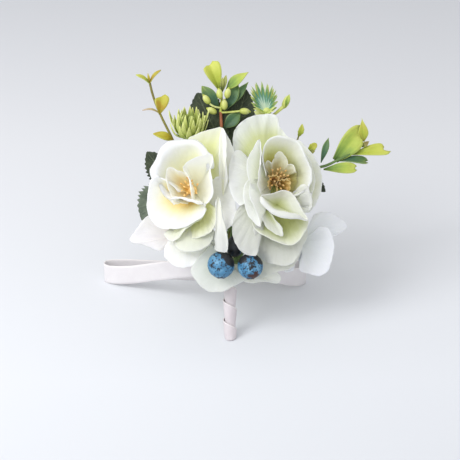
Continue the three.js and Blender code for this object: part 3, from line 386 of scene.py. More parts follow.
def dress(piece, slot, *solids, body="bouquet"):
    """The piece moves with its body and stands for these solids"""
    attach(piece, body)
    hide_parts(*solids)
    return piece


print("dressing tools:", joined.__name__, dress.__name__)

# %% [markdown]
# Wires and stalks are tubes around a smooth curve. Blender makes them from a Bezier curve with a bevel, and
# each point of the curve may have its own radius.

# %% Tubes


def tube(points, radii, finish, sides=3):
    """A round tube along a smooth curve, with a radius for each point or one for all"""
    bpy.ops.curve.primitive_bezier_curve_add()
    wire = bpy.context.object
    spline = wire.data.splines[0]
    spline.bezier_points.add(len(points) - 2)
    for i, (knot, point) in enumerate(zip(spline.bezier_points, points)):
        knot.handle_left_type = knot.handle_right_type = "AUTO"
        knot.co = point
        knot.radius = radii[i] if isinstance(radii, (list, tuple)) else radii
    wire.data.dimensions = "3D"
    wire.data.resolution_u = 8
    wire.data.bevel_depth = 1
    wire.data.bevel_resolution = sides
    wire.data.use_fill_caps = True
    bpy.ops.object.convert(target="MESH")
    bpy.ops.object.shade_smooth()
    wire.data.materials.append(finish.material)
    return wire


print("a wire is made by", tube.__name__)

# %% [markdown]
# Turned things such as the binding grow ring by ring from a circle, as they would on a lathe. Berries and
# buds start as balls.

# %% Turned pieces and balls


def turned(profile, origin, axis, finish, sides=36):
    """A body of pairs of radius and height about `axis`, ring by ring"""
    bpy.ops.mesh.primitive_circle_add(vertices=sides, radius=profile[0][0], fill_type="NGON",
                                      location=(0, 0, profile[0][1]))
    body = bpy.context.object
    bpy.ops.object.mode_set(mode="EDIT")
    for (inner, low), (outer, high) in zip(profile, profile[1:]):
        bpy.ops.mesh.extrude_region_move(TRANSFORM_OT_translate={"value": (0, 0, high - low)})
        bpy.ops.transform.resize(value=(outer / inner, outer / inner, 1), center_override=(0, 0, 0))
    bpy.ops.mesh.select_all(action="SELECT")
    bpy.ops.mesh.normals_make_consistent(inside=False)
    bpy.ops.object.mode_set(mode="OBJECT")
    bpy.ops.object.transform_apply(location=True)
    way = Vector((0, 0, 1)).rotation_difference(Vector(axis)).to_matrix().to_4x4()
    body.data.transform(Matrix.Translation(origin) @ way)
    bpy.ops.object.shade_smooth_by_angle(angle=math.radians(50))
    body.data.materials.append(finish.material)
    return body


def ball(centre, size, axis, finish, rings):
    """An egg with half lengths `size`, its third along `axis`"""
    bpy.ops.mesh.primitive_uv_sphere_add(segments=2 * rings, ring_count=rings, radius=1)
    egg = bpy.context.object
    way = Vector((0, 0, 1)).rotation_difference(Vector(axis)).to_matrix().to_4x4()
    egg.data.transform(Matrix.Translation(centre) @ way @ Matrix.Diagonal((*size, 1)))
    bpy.ops.object.shade_smooth()
    egg.data.materials.append(finish.material)
    return egg


print("round tools:", turned.__name__, ball.__name__)

# %% [markdown]
# ## Satin ribbon
# Pale pink satin wraps the stem and ties the corsage to the wrist. Satin shows fine threads along its length
# and a firmer woven edge, and it is smoother than the silk of the petals.

# %% Satin finish


def woven(name, dark, light):
    made = Finish(name, 0.42, Sheen_Weight=0.15)
    edge = (made.across - 0.5).size().between(0.43, 0.47)
    tone = made.grain(0.006, 2).ramp((0.3, dark), (0.7, light))
    made.colour((edge * 0.6).mixed(tone, rgb("#f9f4f4")))
    made.bump(made.streaks(55, 3) * 0.5 + edge, 0.00015, 0.6)
    return made


# Two copies of the one satin: a darker one for the stem, painted shade from the flowers above it, and a
# paler one for the wrist ribbon, painted light where it lies out in the open.
satin = woven("stem_satin_painted_shade", "#cec6ca", "#d8d1d4")
lit_satin = woven("wrist_satin_painted_light", "#e3dfe1", "#e8e5e6")
print("satins made:", satin.material.name, lit_satin.material.name)

# %% [markdown]
# The stem is wrapped from the foot upwards in one strip. It climbs one pitch a turn, and each turn's upper
# edge lies over the turn above it, which gives the slanting line seen at the front. Small creases run across
# the strip, because ribbon that is pulled around a thin stem puckers.

# %% Stem wrap
STEM_RADIUS, STEM_LENGTH, WRAP_WIDTH, WRAP_PITCH, WRAP_LIFT = 1.6, 27.5, 10, 9, 0.95
WRAP_GAP, WRAP_TUCK, TABLE_GAP = 0.5, 7.5, 0.3
WRAP_RADIUS = STEM_RADIUS + WRAP_GAP
WRAP_LOW = -(WRAP_RADIUS + WRAP_LIFT) * math.tan(LEAN) - WRAP_TUCK
WRAP_TURNS = (STEM_LENGTH - WRAP_LOW - WRAP_WIDTH) / WRAP_PITCH
WRAP_START = math.radians(128)


def wrap_point(along, across):
    turn = WRAP_START - math.tau * WRAP_TURNS * along
    pucker = 0.1 * noise.noise(Vector((30 * along, 2.2 * across, 5)))
    radius = WRAP_RADIUS + WRAP_LIFT * across + pucker
    point = Vector((radius * math.cos(turn), radius * math.sin(turn),
                    WRAP_LOW + WRAP_PITCH * WRAP_TURNS * along + WRAP_WIDTH * across))
    above_table = point.z * math.cos(LEAN) - point.y * math.sin(LEAN)
    point.z += max(0, TABLE_GAP - above_table) / math.cos(LEAN)
    return point


wrap = joined("stem_ribbon", [grid_sheet(130, 12, wrap_point, 0.3, satin)])
dress(wrap, "satin_pink", "stem_ribbon_wrap")
print("stem ribbon:", round(cloth_area(wrap) * 1e6), "square mm of one side")

# %% [markdown]
# The wrist ribbon lies flat across the pad behind the stem, turns on edge at both sides of it and runs out
# and down to the table in a slack loop. It bends where it leaves the pad. The fourth number of each point of
# its line says how far the ribbon has turned from the stem's slant to upright.

# %% Wrist ribbon
PAD_LINE = [(9.6, 24.516, 23.431, 1), (8.3, 23.95, 23.431, 0.5), (7, 23.516, 23.431, 0),
            (0, 23.516, 23.431, 0), (-7, 23.516, 23.431, 0)]
LEFT_LOOP = [(-8.3, 23.95, 23.431, 0.5), (-9.6, 24.516, 23.431, 1), (-18, 28, 20.5, 1), (-32, 34.5, 14.5, 1),
             (-47, 41.5, 8.2, 1), (-57, 46, 5.4, 1), (-60.3, 49.3, 5, 1), (-57.5, 52.3, 5, 1),
             (-45, 52.5, 5, 1), (-25, 50.5, 5, 1), (-10.4, 49.5, 5, 1)]
RIGHT_LOOP = [(9.7, 24.516, 23.431, 1), (16, 28.4, 19, 1), (23, 34, 13, 1), (30.5, 40.5, 7.5, 1),
              (35, 45.3, 5.3, 1), (36.3, 48.6, 5, 1), (33.5, 51.2, 5, 1), (24, 51.3, 5, 1), (8, 50.2, 5, 1),
              (-5.6, 49.5, 5, 1)]
STEM_WAY = Vector((0, math.sin(LEAN), math.cos(LEAN)))
RIBBON_WIDTH, RIBBON_STEPS = 10, 180


def ribbon(name, line, bend_from, bend_to, body, *solids):
    middle = evenly(line, RIBBON_STEPS + 1)

    def surface(along, across):
        spot = middle[round(along * RIBBON_STEPS)]
        way = STEM_WAY.lerp(Vector((0, 0, 1)), spot.w).normalized()
        wave = 0.25 * noise.noise(Vector((spot.x * 0.12, spot.y * 0.12, across * 0.8))) * spot.w
        return spot.to_3d() + way * RIBBON_WIDTH * (across - 0.5) + Vector((0, wave, 0))

    piece = joined(name, [grid_sheet(RIBBON_STEPS, 8, surface, 0.35, lit_satin)], TABLE)
    length = sum((b - a).to_3d().length for a, b in zip(middle, middle[1:])) * MM
    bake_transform(piece)
    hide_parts(*solids)
    print(name, "is", round(length * 1000), "mm long")


ribbon("wrist_ribbon_left_half", PAD_LINE + LEFT_LOOP,
       (-8.9, 24.2, 23.4), (-11.2, 26.9, 23.4), "ribbon_left", "wrist_ribbon_left", "ribbon_bridge")
ribbon("wrist_ribbon_right_half", RIGHT_LOOP,
       (9.3, 24.2, 23.4), (11.6, 26.9, 23.4), "ribbon_right", "wrist_ribbon_right")

# %% [markdown]
# The two ends meet in a small tight knot. It starts as a ball and is pulled into an upright pillow, with
# folds that run around it.

# %% Knot
KNOT = Vector((-8, 49.5, 5))
knot = ball(KNOT, (2.2, 2.2, 4.5), (0, 0, 1), lit_satin, 20)
for point in knot.data.vertices:
    out = point.co - KNOT
    turn = math.atan2(out.y, out.x)
    fold = 1 - 0.1 * (0.5 + 0.5 * math.sin(6 * turn + 0.9 * out.z))
    point.co = Vector((KNOT.x + out.x * fold, KNOT.y + out.y * fold, point.co.z))
dress(joined("knot", [knot], TABLE), "satin_pink", "ribbon_knot", body="ribbon_left")
print("knot:", len(knot.data.vertices), "points folded")

# %% [markdown]
# ## Stem, binding and pad
# Under the ribbon is a padded core. Above it floral tape makes a thicker binding from which all the wires
# fan out, and a round felt pad on its back keeps the wires off the skin.

# %% Tape, felt and wire finishes


def mottled(name, roughness, size, *stops, detail=3, **fixed):
    """A finish whose colours lie in patches about `size` metres across"""
    made = Finish(name, roughness, **fixed)
    made.colour(made.grain(size, detail).ramp(*stops))
    return made


tape = mottled("floral_tape", 0.8, 0.003, (0.3, "#5f7746"), (0.7, "#7d935c"))
tape.bump(tape.grain(0.0008), 0.0002, 0.6)
felt = mottled("felt", 0.95, 0.0015, (0.3, "#e6e1da"), (0.7, "#f1eee8"), detail=5, Sheen_Weight=0.3)
felt.bump(felt.grain(0.0004, 5), 0.0003, 0.7)
wire_green = mottled("wrapped_wire", 0.65, 0.004, (0.3, "#4f6a37"), (0.7, "#6f8a4c"))
wire_green.bump(wire_green.grain(0.0007), 0.00015, 0.6)
print("finishes:", tape.material.name, felt.material.name, wire_green.material.name)

# %% [markdown]
# The core keeps its plain solid and only gets a finish. The binding and the pad are turned: a list of radii
# and heights is all that they need. The tape overlaps itself, so every fourth ring is a little narrower.

# %% Core, binding and pad
core = frame["nodes"]["stem_core"]
core.data.materials.clear()
core.data.materials.append(felt.material)

BINDING_BOTTOM, BINDING_LENGTH, BINDING_BACK = 27.8, 8.5, 6.5
TAPE_RINGS = 24
rings = [(1, 0), (3, 0)]
for i in range(1, TAPE_RINGS + 1):
    share = i / TAPE_RINGS
    swell = 3 + 3.2 * math.sin(min(1, share * 2) * math.pi / 2) - 0.7 * max(0, share * 2 - 1) ** 2
    rings.append((swell - 0.22 * (i % 4 == 0), share * BINDING_LENGTH))
rings.append((1, BINDING_LENGTH))
binding = turned(rings, (0, 0, BINDING_BOTTOM), (0, 0, 1), tape)
dress(joined("tape_binding", [binding]), "tape_green", "binding")

pad_rings = [(1, 0), (6.5, 0), (6.9, 0.2), (7, 0.5), (7, 1.1), (6.9, 1.4), (6.5, 1.6), (1, 1.6)]
pad = turned(pad_rings, (0, BINDING_BACK, BINDING_BOTTOM + BINDING_LENGTH / 2), (0, 1, 0), felt)
pad = dress(joined("felt_pad", [pad]), "felt_white", "wrist_pad")
print("rings:", len(rings), "in the binding and", len(pad_rings), "in the pad")

# %% [markdown]
# ## Wires
# The roses, two of the florets, the leaves and the berries are on thin wires that stand on the binding.
# From behind they spread like a fan, so they are worth making round.

# %% Flower frames and wires
LEFT_HUB, LEFT_AXIS = Vector((-15.6, 0.65, 66)), Vector((-0.26, -0.95, 0.2)).normalized()
RIGHT_HUB, RIGHT_AXIS = Vector((19.2, 0.65, 70.6)), Vector((0.29, -0.95, 0.15)).normalized()
RIGHT_FLORET, RIGHT_FLORET_AXIS = Vector((31.5, 2, 43.2)), Vector((0.1, -1, 0.1)).normalized()
LEFT_FLORET, LEFT_FLORET_AXIS = Vector((-26.4, 3, 45.5)), Vector((-0.1, -1, 0.1)).normalized()
WIRE_RADIUS, OUTER_RING, INNER_RING, RING_HEIGHT = 0.7, 4.8, 2.3, 36.4


def standing(radius, angle):
    """Where a wire stands on the binding"""
    turn = math.radians(angle)
    return Vector((radius * math.cos(turn), radius * math.sin(turn), RING_HEIGHT))


def through(hub, axis):
    """The end of a rose's wire, from behind its calyx into its throat"""
    return [hub - axis * 5.7, hub, hub + axis * 4.6]


def into(hub, axis):
    """The end of a floret's wire"""
    return [hub - axis * 6 * WIRE_RADIUS, hub]


WIRES = {
    "left_rose_wire": [standing(OUTER_RING, 180), (-8, 3, 46), (-12, 9, 57), *through(LEFT_HUB, LEFT_AXIS)],
    "right_rose_wire": [standing(OUTER_RING, 0), (8, 3, 47), (14, 9, 60), *through(RIGHT_HUB, RIGHT_AXIS)],
    "right_floret_wire": [standing(OUTER_RING, 300), (8, -3, 40), (17, 3, 43), (27, 8, 44),
                          *into(RIGHT_FLORET, RIGHT_FLORET_AXIS)],
    "left_floret_wire": [standing(OUTER_RING, 240), (-7, -3, 40), (-15, 3, 43), (-22.5, 8, 45.5),
                         *into(LEFT_FLORET, LEFT_FLORET_AXIS)],
    "top_leaf_wire": [standing(OUTER_RING, 90), (-1, 11, 60), (-1.6, 13.2, 87.5)],
    "left_leaf_wire": [standing(OUTER_RING, 210), (-9, 1, 44), (-16, 10, 54), (-24.2, 12.4, 66)],
    "right_leaf_wire": [standing(OUTER_RING, 330), (11, 2, 45), (24, 6, 54), (36.4, 9.2, 72.2)],
    "berry_pick": [standing(INNER_RING, 270), (0.4, -1.6, 44), (1.4, -5, 50), (2.2, -9.4, 50.6)],
}
for name, points in WIRES.items():
    dress(joined(name + "_round", [tube(points, WIRE_RADIUS, wire_green)]), "wire_green", name)
print("wires:", len(WIRES))

# %% [markdown]
# ## Silk petals
# Rose petals are cut from stiffened silk and pressed over a hot ball, so that they cup at the base and curl
# over at the rim. The colour runs from a yellow throat to an almost white edge: partly the dye, and partly
# painted shade that darkens and yellows the hollows near the base. The pressed silk keeps fine lines that
# fan out from the base. Some petals get lighter copies of the silk, which are painted light, and some
# darker ones, which are painted shade.

# %% Silk finishes


def silk(name, *stops):
    made = Finish(name, 0.75, Subsurface_Weight=0.6, Subsurface_Scale=0.001, Sheen_Weight=0.1)
    made.shader.inputs["Subsurface Radius"].default_value = (1, 1, 0.8)
    # The tint is darkest and yellowest at the base: partly the dye's yellow throat, partly painted shade of
    # the hollows.
    tint = made.along + 0.2 * (made.grain(0.012, 2) - 0.5) + 0.08 * (made.streaks(26) - 0.5)
    made.colour(tint.ramp(*stops))
    made.bump(made.streaks(40, 1.6) * 0.6 + made.grain(0.0014, 4) * 0.35, 0.0006, 0.6)
    return made


left_silk = silk("ivory_silk", (0, "#f6c064"), (0.16, "#fbe09a"), (0.36, "#faf2bc"), (0.6, "#f8fae2"),
                 (0.85, "#fafcf8"))
# A lighter copy for the inner petals: painted light that lifts the shade of the deep throat.
left_inner = silk("amber_silk_painted_light", (0, "#f7c878"), (0.32, "#fce6ae"), (0.5, "#fdf3ca"), (0.7, "#fdf9e0"),
                  (0.95, "#fdfdf6"))
left_throat = silk("golden_silk", (0, "#f2a848"), (0.3, "#f8cc74"), (0.5, "#faecae"), (0.7, "#fafcec"),
                   (0.9, "#fbfdfb"))
# The hood's yellow reaches far up its inside: painted shade of its hollow.
left_hood = silk("hood_silk_painted_shade", (0, "#f3cc74"), (0.25, "#f6ecaa"), (0.55, "#f6f8cc"), (0.76, "#f8fbec"),
                 (0.9, "#fafdfd"))
# Petals that lie in shade behind others: painted shade, yellow-green.
left_shade = silk("yellow_silk_painted_shade", (0, "#e2cf7a"), (0.3, "#dfe488"), (0.65, "#e3e89e"), (0.95, "#f8fae8"))
left_low = silk("shadow_silk", (0, "#ccd082"), (0.45, "#d4d9a6"), (0.75, "#dfe3cc"), (1, "#e8ebe0"))
# A lighter copy: painted light on the petals that look brightest.
left_lit = silk("bright_silk_painted_light", (0, "#f4f4cc"), (0.4, "#fafbea"), (1, "#fcfdfa"))
# The hanging strip greys towards its tip: painted shade.
left_strip = silk("hanging_silk_painted_shade", (0, "#fbfbe6"), (0.5, "#eef0e4"), (1, "#dfe2d8"))
# The right rose's brown base: partly dye, partly painted shade of its deep throat.
right_silk = silk("pale_silk_dyed_and_shaded", (0, "#8e6428"), (0.2, "#a8843e"), (0.36, "#c4bc70"), (0.55, "#d8dca8"),
                  (0.88, "#eff2ea"))
# The small petals in the throat: their brown base is partly dye, partly painted shade.
right_inner = silk("cream_silk_dyed_and_shaded", (0, "#b08c48"), (0.35, "#d2c68c"), (0.65, "#dfdfba"), (1, "#e6e8da"))
right_back = silk("standing_silk", (0, "#b0ba70"), (0.55, "#c8d092"), (0.75, "#dfe5d2"), (0.92, "#eff3ee"))
# The green hollow below the right rose: painted shade.
right_shade = silk("green_silk", (0, "#8e9246"), (0.45, "#aeb56a"), (0.64, "#c2c994"), (0.82, "#dbdfc4"),
                   (0.96, "#eaeddf"))
# Darker green towards the base of the rolled and hollow petals: painted shade in the fold and the hollow.
right_fold = silk("folded_silk_painted_shade", (0, "#a4ab62"), (0.25, "#c5cb9c"), (0.5, "#dfe2d0"), (1, "#e8eae4"))
# A lighter copy: painted light on the petals that face the window.
right_lit = silk("cool_silk_painted_light", (0, "#d2d89e"), (0.3, "#eef2d8"), (0.6, "#f8fbf0"), (0.9, "#fbfdfa"))
# A greyer copy: painted shade on the lower petals.
right_shaded = silk("grey_silk_painted_shade", (0, "#adb386"), (0.4, "#c5cab2"), (0.75, "#d0d3c6"), (1, "#d8dad2"))
# The brown curls in the throat: partly their own brown, partly painted shade.
right_brown = silk("throat_silk_dyed_and_shaded", (0, "#a87834"), (0.5, "#c89a50"), (1, "#dcbc7c"))
white_silk = silk("white_silk", (0, "#d8dfdb"), (0.4, "#e2e8eb"), (1, "#ebeef3"))
pink_silk = silk("blush_silk", (0, "#f8ebe9"), (0.5, "#fdf6f5"), (1, "#fefbfa"))
green_silk = silk("greenish_silk", (0, "#cdd5b8"), (0.5, "#d9dfce"), (1, "#e2e6dc"))
print("silks:", [m.name for m in bpy.data.materials if "silk" in m.name])

# %% [markdown]
# The berries hang in front of the petals and sway a little to the sides. A petal gives way where one of them
# would touch it, so the room that they need is worked out first: balls at a few steps of the sway.

# %% Room for the berries
LEFT_BERRY, RIGHT_BERRY, DARK_BERRY = Vector((-4, -15, 33.6)), Vector((9, -15, 33)), Vector((2.2, -9.2, 42))
LEFT_ROOT, RIGHT_ROOT = Vector((0.75, -9.4, 50.6)), Vector((3.65, -9.4, 50.6))
LEFT_RADIUS, RIGHT_RADIUS = 6, 5.7
SWAY, SWAY_STEPS, SWAY_GAP = math.radians(12), 8, 0.4
SWAY_ROOM = []
for centre, root, radius, most in ((LEFT_BERRY, LEFT_ROOT, LEFT_RADIUS, SWAY),
                                   (RIGHT_BERRY, RIGHT_ROOT, RIGHT_RADIUS, -SWAY)):
    for step in range(SWAY_STEPS + 1):
        swung = Matrix.Rotation(most * step / SWAY_STEPS, 3, "Y") @ (centre - root)
        SWAY_ROOM.append((root + swung, radius + SWAY_GAP))


def aside(point):
    """The point, moved behind or in front of the room in which the berries sway"""
    for centre, radius in SWAY_ROOM:
        off = math.hypot(point.x - centre.x, point.z - centre.z)
        half = math.sqrt(max(0, radius ** 2 - off ** 2))
        if abs(point.y - centre.y) < half:
            point.y = centre.y + math.copysign(half, point.y - centre.y)
    return point


print("the berries sway to", [round(SWAY_ROOM[i][0].x, 1) for i in (SWAY_STEPS, -1)])

# %% [markdown]
# A petal is a fan of ribs. Every rib leaves the hub and ends on the rim, and the rim is a curve through a
# few points read off the picture, each with its depth. `cup` says whether the ribs open like a bowl or
# bend back like a trumpet. Beyond the rim the silk rolls over in a lip, by `roll` degrees, and small folds
# run along the ribs. `root` starts the ribs at another point than the hub, and `teeth` cut the rim to the
# depth of `jag`.

# %% One petal
LIP_START, PETAL_FOOT, SILK_THICKNESS = 0.84, 1.6, 0.12


def petal(hub, axis, rim, finish, cup=0.5, lip=0.35, roll=60, ruffle=0.7, pleat=0.4, root=None, rows=24,
          columns=44, teeth=0, jag=0):
    columns = max(columns, 6 * teeth)
    edge = evenly([(*seen(*point[:3]), point[3] if len(point) > 3 else lip) for point in rim], columns + 1)
    total = math.radians(roll)
    drift = Vector((rim[0][0], rim[0][1], rim[-1][0])) * 0.37
    centre = seen(*root) if root else hub

    def surface(along, across):
        j = round(across * columns)
        goal, over = edge[j].to_3d(), edge[j].w
        if teeth:
            goal = goal.lerp(centre, jag * abs(2 * ((across * teeth) % 1) - 1))
        over *= 1 + 0.5 * noise.noise(Vector((across * 7, drift.y, 1)))
        tangent = (edge[min(j + 1, columns)] - edge[max(j - 1, 0)]).to_3d()
        out = goal - centre - axis * (goal - centre).dot(axis)
        start = centre + out.normalized() * min(PETAL_FOOT, 0.3 * out.length) * (0.1 if root else 1)
        rise = (goal - start).dot(axis)
        out = goal - start - axis * rise
        bend = start + out * (0.15 + 0.75 * cup) + axis * rise * (0.9 - 0.8 * cup)
        t = min(1, along / LIP_START)
        spot = start.lerp(bend, t).lerp(bend.lerp(goal, t), t)
        way = (goal - bend).normalized()
        face = tangent.cross(way).normalized()
        if face.dot(axis - out.normalized()) < 0:
            face.negate()
        if along > LIP_START:
            turn = total * (along - LIP_START) / (1 - LIP_START)
            spot += way * over * math.sin(turn) / total - face * over * (1 - math.cos(turn)) / total
        wave = ruffle * noise.noise(spot * 0.13 + drift) + 0.25 * noise.noise(spot * 0.4 - drift)
        fold = abs(noise.noise(Vector((across * 8, drift.x, along * 1.2))))
        crease = pleat * (0.4 - 2 * min(0.4, fold))
        fray = 0.35 * noise.noise(Vector((across * 22, drift.z, 2))) * t ** 3
        return aside(spot + face * (wave * t ** 2 + crease * t) + way * fray)

    return grid_sheet(rows, columns, surface, SILK_THICKNESS, finish)


print("a petal's lip starts at", LIP_START, "of its length")

# %% [markdown]
# A rose has four layers of petals, threaded on its wire a small step apart. Each layer is one sheet of silk:
# its petals take about 60 per cent of the square that it is cut from.

# %% A rose of petal layers
CUT_SHARE, LAYER_STEP = 0.6, 1.3


def die_cut(piece):
    """Square millimetres of one side of a layer of petals, which is one piece of silk cut and gathered on
    the wire
    """
    area = cloth_area(piece)
    return round(area * 1e6)


def rose(name, hub, axis, finish, layers):
    for number, petals in enumerate(layers, 1):
        root = hub + axis * LAYER_STEP * (len(layers) - number)
        parts = [petal(root, axis, rim, how.pop("silk", finish), **how) for rim, how in petals]
        layer = joined(f"{name}_petals_{number}", parts)
        dress(layer, "petal_ivory", f"{name}_whorl_{number}")
        print(layer.name, len(petals), "petals,", die_cut(layer), "square mm")


print("a layer's petals take", CUT_SHARE, "of their square")

# %% [markdown]
# The left rose is wide open, with a hood at the upper left, a crumpled curl around the throat, a broad petal
# that rolls out at the lower left and one long strip that hangs down to the berries.

# %% Left rose
LEFT_LAYERS = [[
    ([(192, 200, -10), (190.6, 192, -13), (190.6, 185, -14.6), (187.6, 176, -15.4), (184.6, 169, -15.6),
      (184.2, 164.4, -15.8), (189, 160.6, -16.8), (195.5, 157.6, -17.6), (203.5, 155.4, -18.2),
      (208.2, 153.9, -18.6), (210.6, 155.6, -18.4), (210.4, 162, -17.8), (209.4, 172, -17.2),
      (212.2, 180, -16.8), (213, 190, -15.8), (211.6, 198, -14), (206, 204.6, -11.6), (198, 206.6, -8.6)],
     dict(cup=0.85, lip=0.5, ruffle=0.9, pleat=1.0, silk=left_lit)),
    ([(188, 203, -8.5), (178, 201, -10.5), (171.5, 195, -11.6), (168.4, 185, -12.2), (167, 176, -12.8),
      (167.6, 169.4, -13.2), (170.6, 168.2, -13.6), (176.6, 171, -13.6), (181, 171.6, -13.4),
      (186, 174, -12.8), (190, 180, -11)], dict(cup=0.8, ruffle=0.8, silk=left_inner)),
    ([(176, 204, -12), (172, 199.6, -14), (174.6, 197.8, -15), (180, 197.8, -16), (189, 199.3, -16.4),
      (197, 201.4, -16), (202.4, 203.4, -15), (204.6, 206.6, -13)],
     dict(cup=0.85, lip=1.4, roll=150, ruffle=0.6, silk=left_lit)),
], [
    ([(176, 198, -6), (168, 192, -7), (162.4, 184, -8.6), (159, 175, -10.6), (159.6, 167, -11.6),
      (163.6, 159, -12), (170.6, 152.2, -11.6), (180, 147.6, -11.2), (190, 146.2, -11.2),
      (198, 148.8, -11.6), (203, 154.8, -12), (206, 163, -11), (207, 172, -9)],
     dict(cup=0.75, lip=4.4, roll=115, ruffle=0.5, silk=left_hood)),
    ([(180, 192, -10), (172, 184.6, -11), (164, 178.6, -11.8), (157, 177.4, -11.6), (152.4, 182, -10.6),
      (149.4, 191, -9.4), (148.2, 204, -8.8), (150.2, 214.6, -9), (156, 223.2, -10), (163, 227.6, -11.4),
      (175, 227, -13.2), (186.6, 224.4, -14.8), (196, 219, -15.6), (202.6, 213.6, -15.4), (206, 208, -13)],
     dict(cup=0.4, lip=0.8, ruffle=0.5, pleat=0.5, silk=left_throat)),
    ([(174, 230, -9), (165, 232.4, -8.5), (167, 237.6, -9.8), (172.5, 241.4, -12), (179.6, 237, -13.5),
      (185.6, 229, -14), (194, 223, -13.6), (203, 216, -12.5)],
     dict(cup=0.2, root=(187, 217, -5), silk=left_low)),
    ([(184, 230, -10), (188, 236.6, -11.5), (194, 237.4, -12.6), (202, 236, -13.2), (210.5, 231.6, -13),
      (215.4, 222, -12), (216, 208, -10)], dict(cup=0.5, silk=left_shade)),
    ([(216.4, 200, -13.6), (215.8, 210, -14.4), (215.6, 226, -16.2), (214.8, 240, -18), (214.8, 249.2, -19),
      (219, 251.4, -19.2), (224, 251.8, -19.2), (227, 251, -19), (228, 244, -18.2), (226.6, 232, -16.8),
      (224.2, 222, -15.6), (221.4, 210, -14.4), (220.2, 200, -13.6)],
     dict(cup=0.5, lip=0.2, ruffle=0.4, pleat=0.7, root=(218.2, 196, -12), silk=left_strip)),
], [
    ([(200, 168, -4), (190, 152, -3), (188, 140, -3.4), (193, 136.6, -4), (203, 132, -5), (214, 129.4, -6),
      (221.6, 128.4, -7), (222, 140, -7.6), (221, 160, -7), (221, 176, -6)],
     dict(cup=0.45, pleat=0.6, silk=left_shade)),
    ([(219.8, 180, -8), (219.2, 168, -8.6), (219.4, 152, -8.8), (220.2, 140, -8.6), (222, 128.8, -8),
      (224.8, 133, -9.4), (226, 142, -11), (226.2, 154, -11.6), (226.4, 166, -11.4), (228, 180, -10)],
     dict(cup=0.5, silk=left_lit, ruffle=0.3, root=(223, 196, -7))),
    ([(223, 178, -6), (223.6, 150, -6.6), (224, 133, -7), (227, 135.6, -7.2), (230.6, 142.4, -7),
      (234, 152, -6.8), (234.6, 162, -6.4), (233, 176, -6)],
     dict(cup=0.5, silk=left_lit, root=(226, 192, -4))),
    ([(180, 232, -8), (176, 240, -10.5), (176.6, 246.4, -12), (183, 249.6, -13.4), (190, 250.8, -14),
      (198, 250, -14), (206, 246, -13.5), (211.6, 240, -12.4), (214, 231, -10)],
     dict(cup=0.3, lip=0.6, silk=left_low)),
], [
    ([(172, 240, -5), (165.4, 246, -6.4), (165.8, 255, -8), (172.6, 263.4, -9), (182, 266.6, -9.5),
      (192, 264.4, -9.5), (200, 258, -9), (207, 248.5, -8), (210, 238, -6)], dict(cup=0.35, lip=0.6)),
    ([(215, 178, -8.4), (222, 178, -7.6), (229, 185, -7), (233, 197, -7.6), (235.6, 210, -9.4),
      (234, 221, -11.4), (228, 227.6, -12.8), (220, 229.6, -13), (211, 227, -11)],
     dict(cup=0.45, silk=left_lit, pleat=0.9)),
    ([(168, 172, 1), (160, 166, 1), (155, 173, 0.6), (152.6, 185, 0), (152.6, 197, -0.6), (156, 207, -1),
      (168, 210, -1)], dict(cup=0.4)),
]]
rose("left_rose", LEFT_HUB, LEFT_AXIS, left_silk, LEFT_LAYERS)
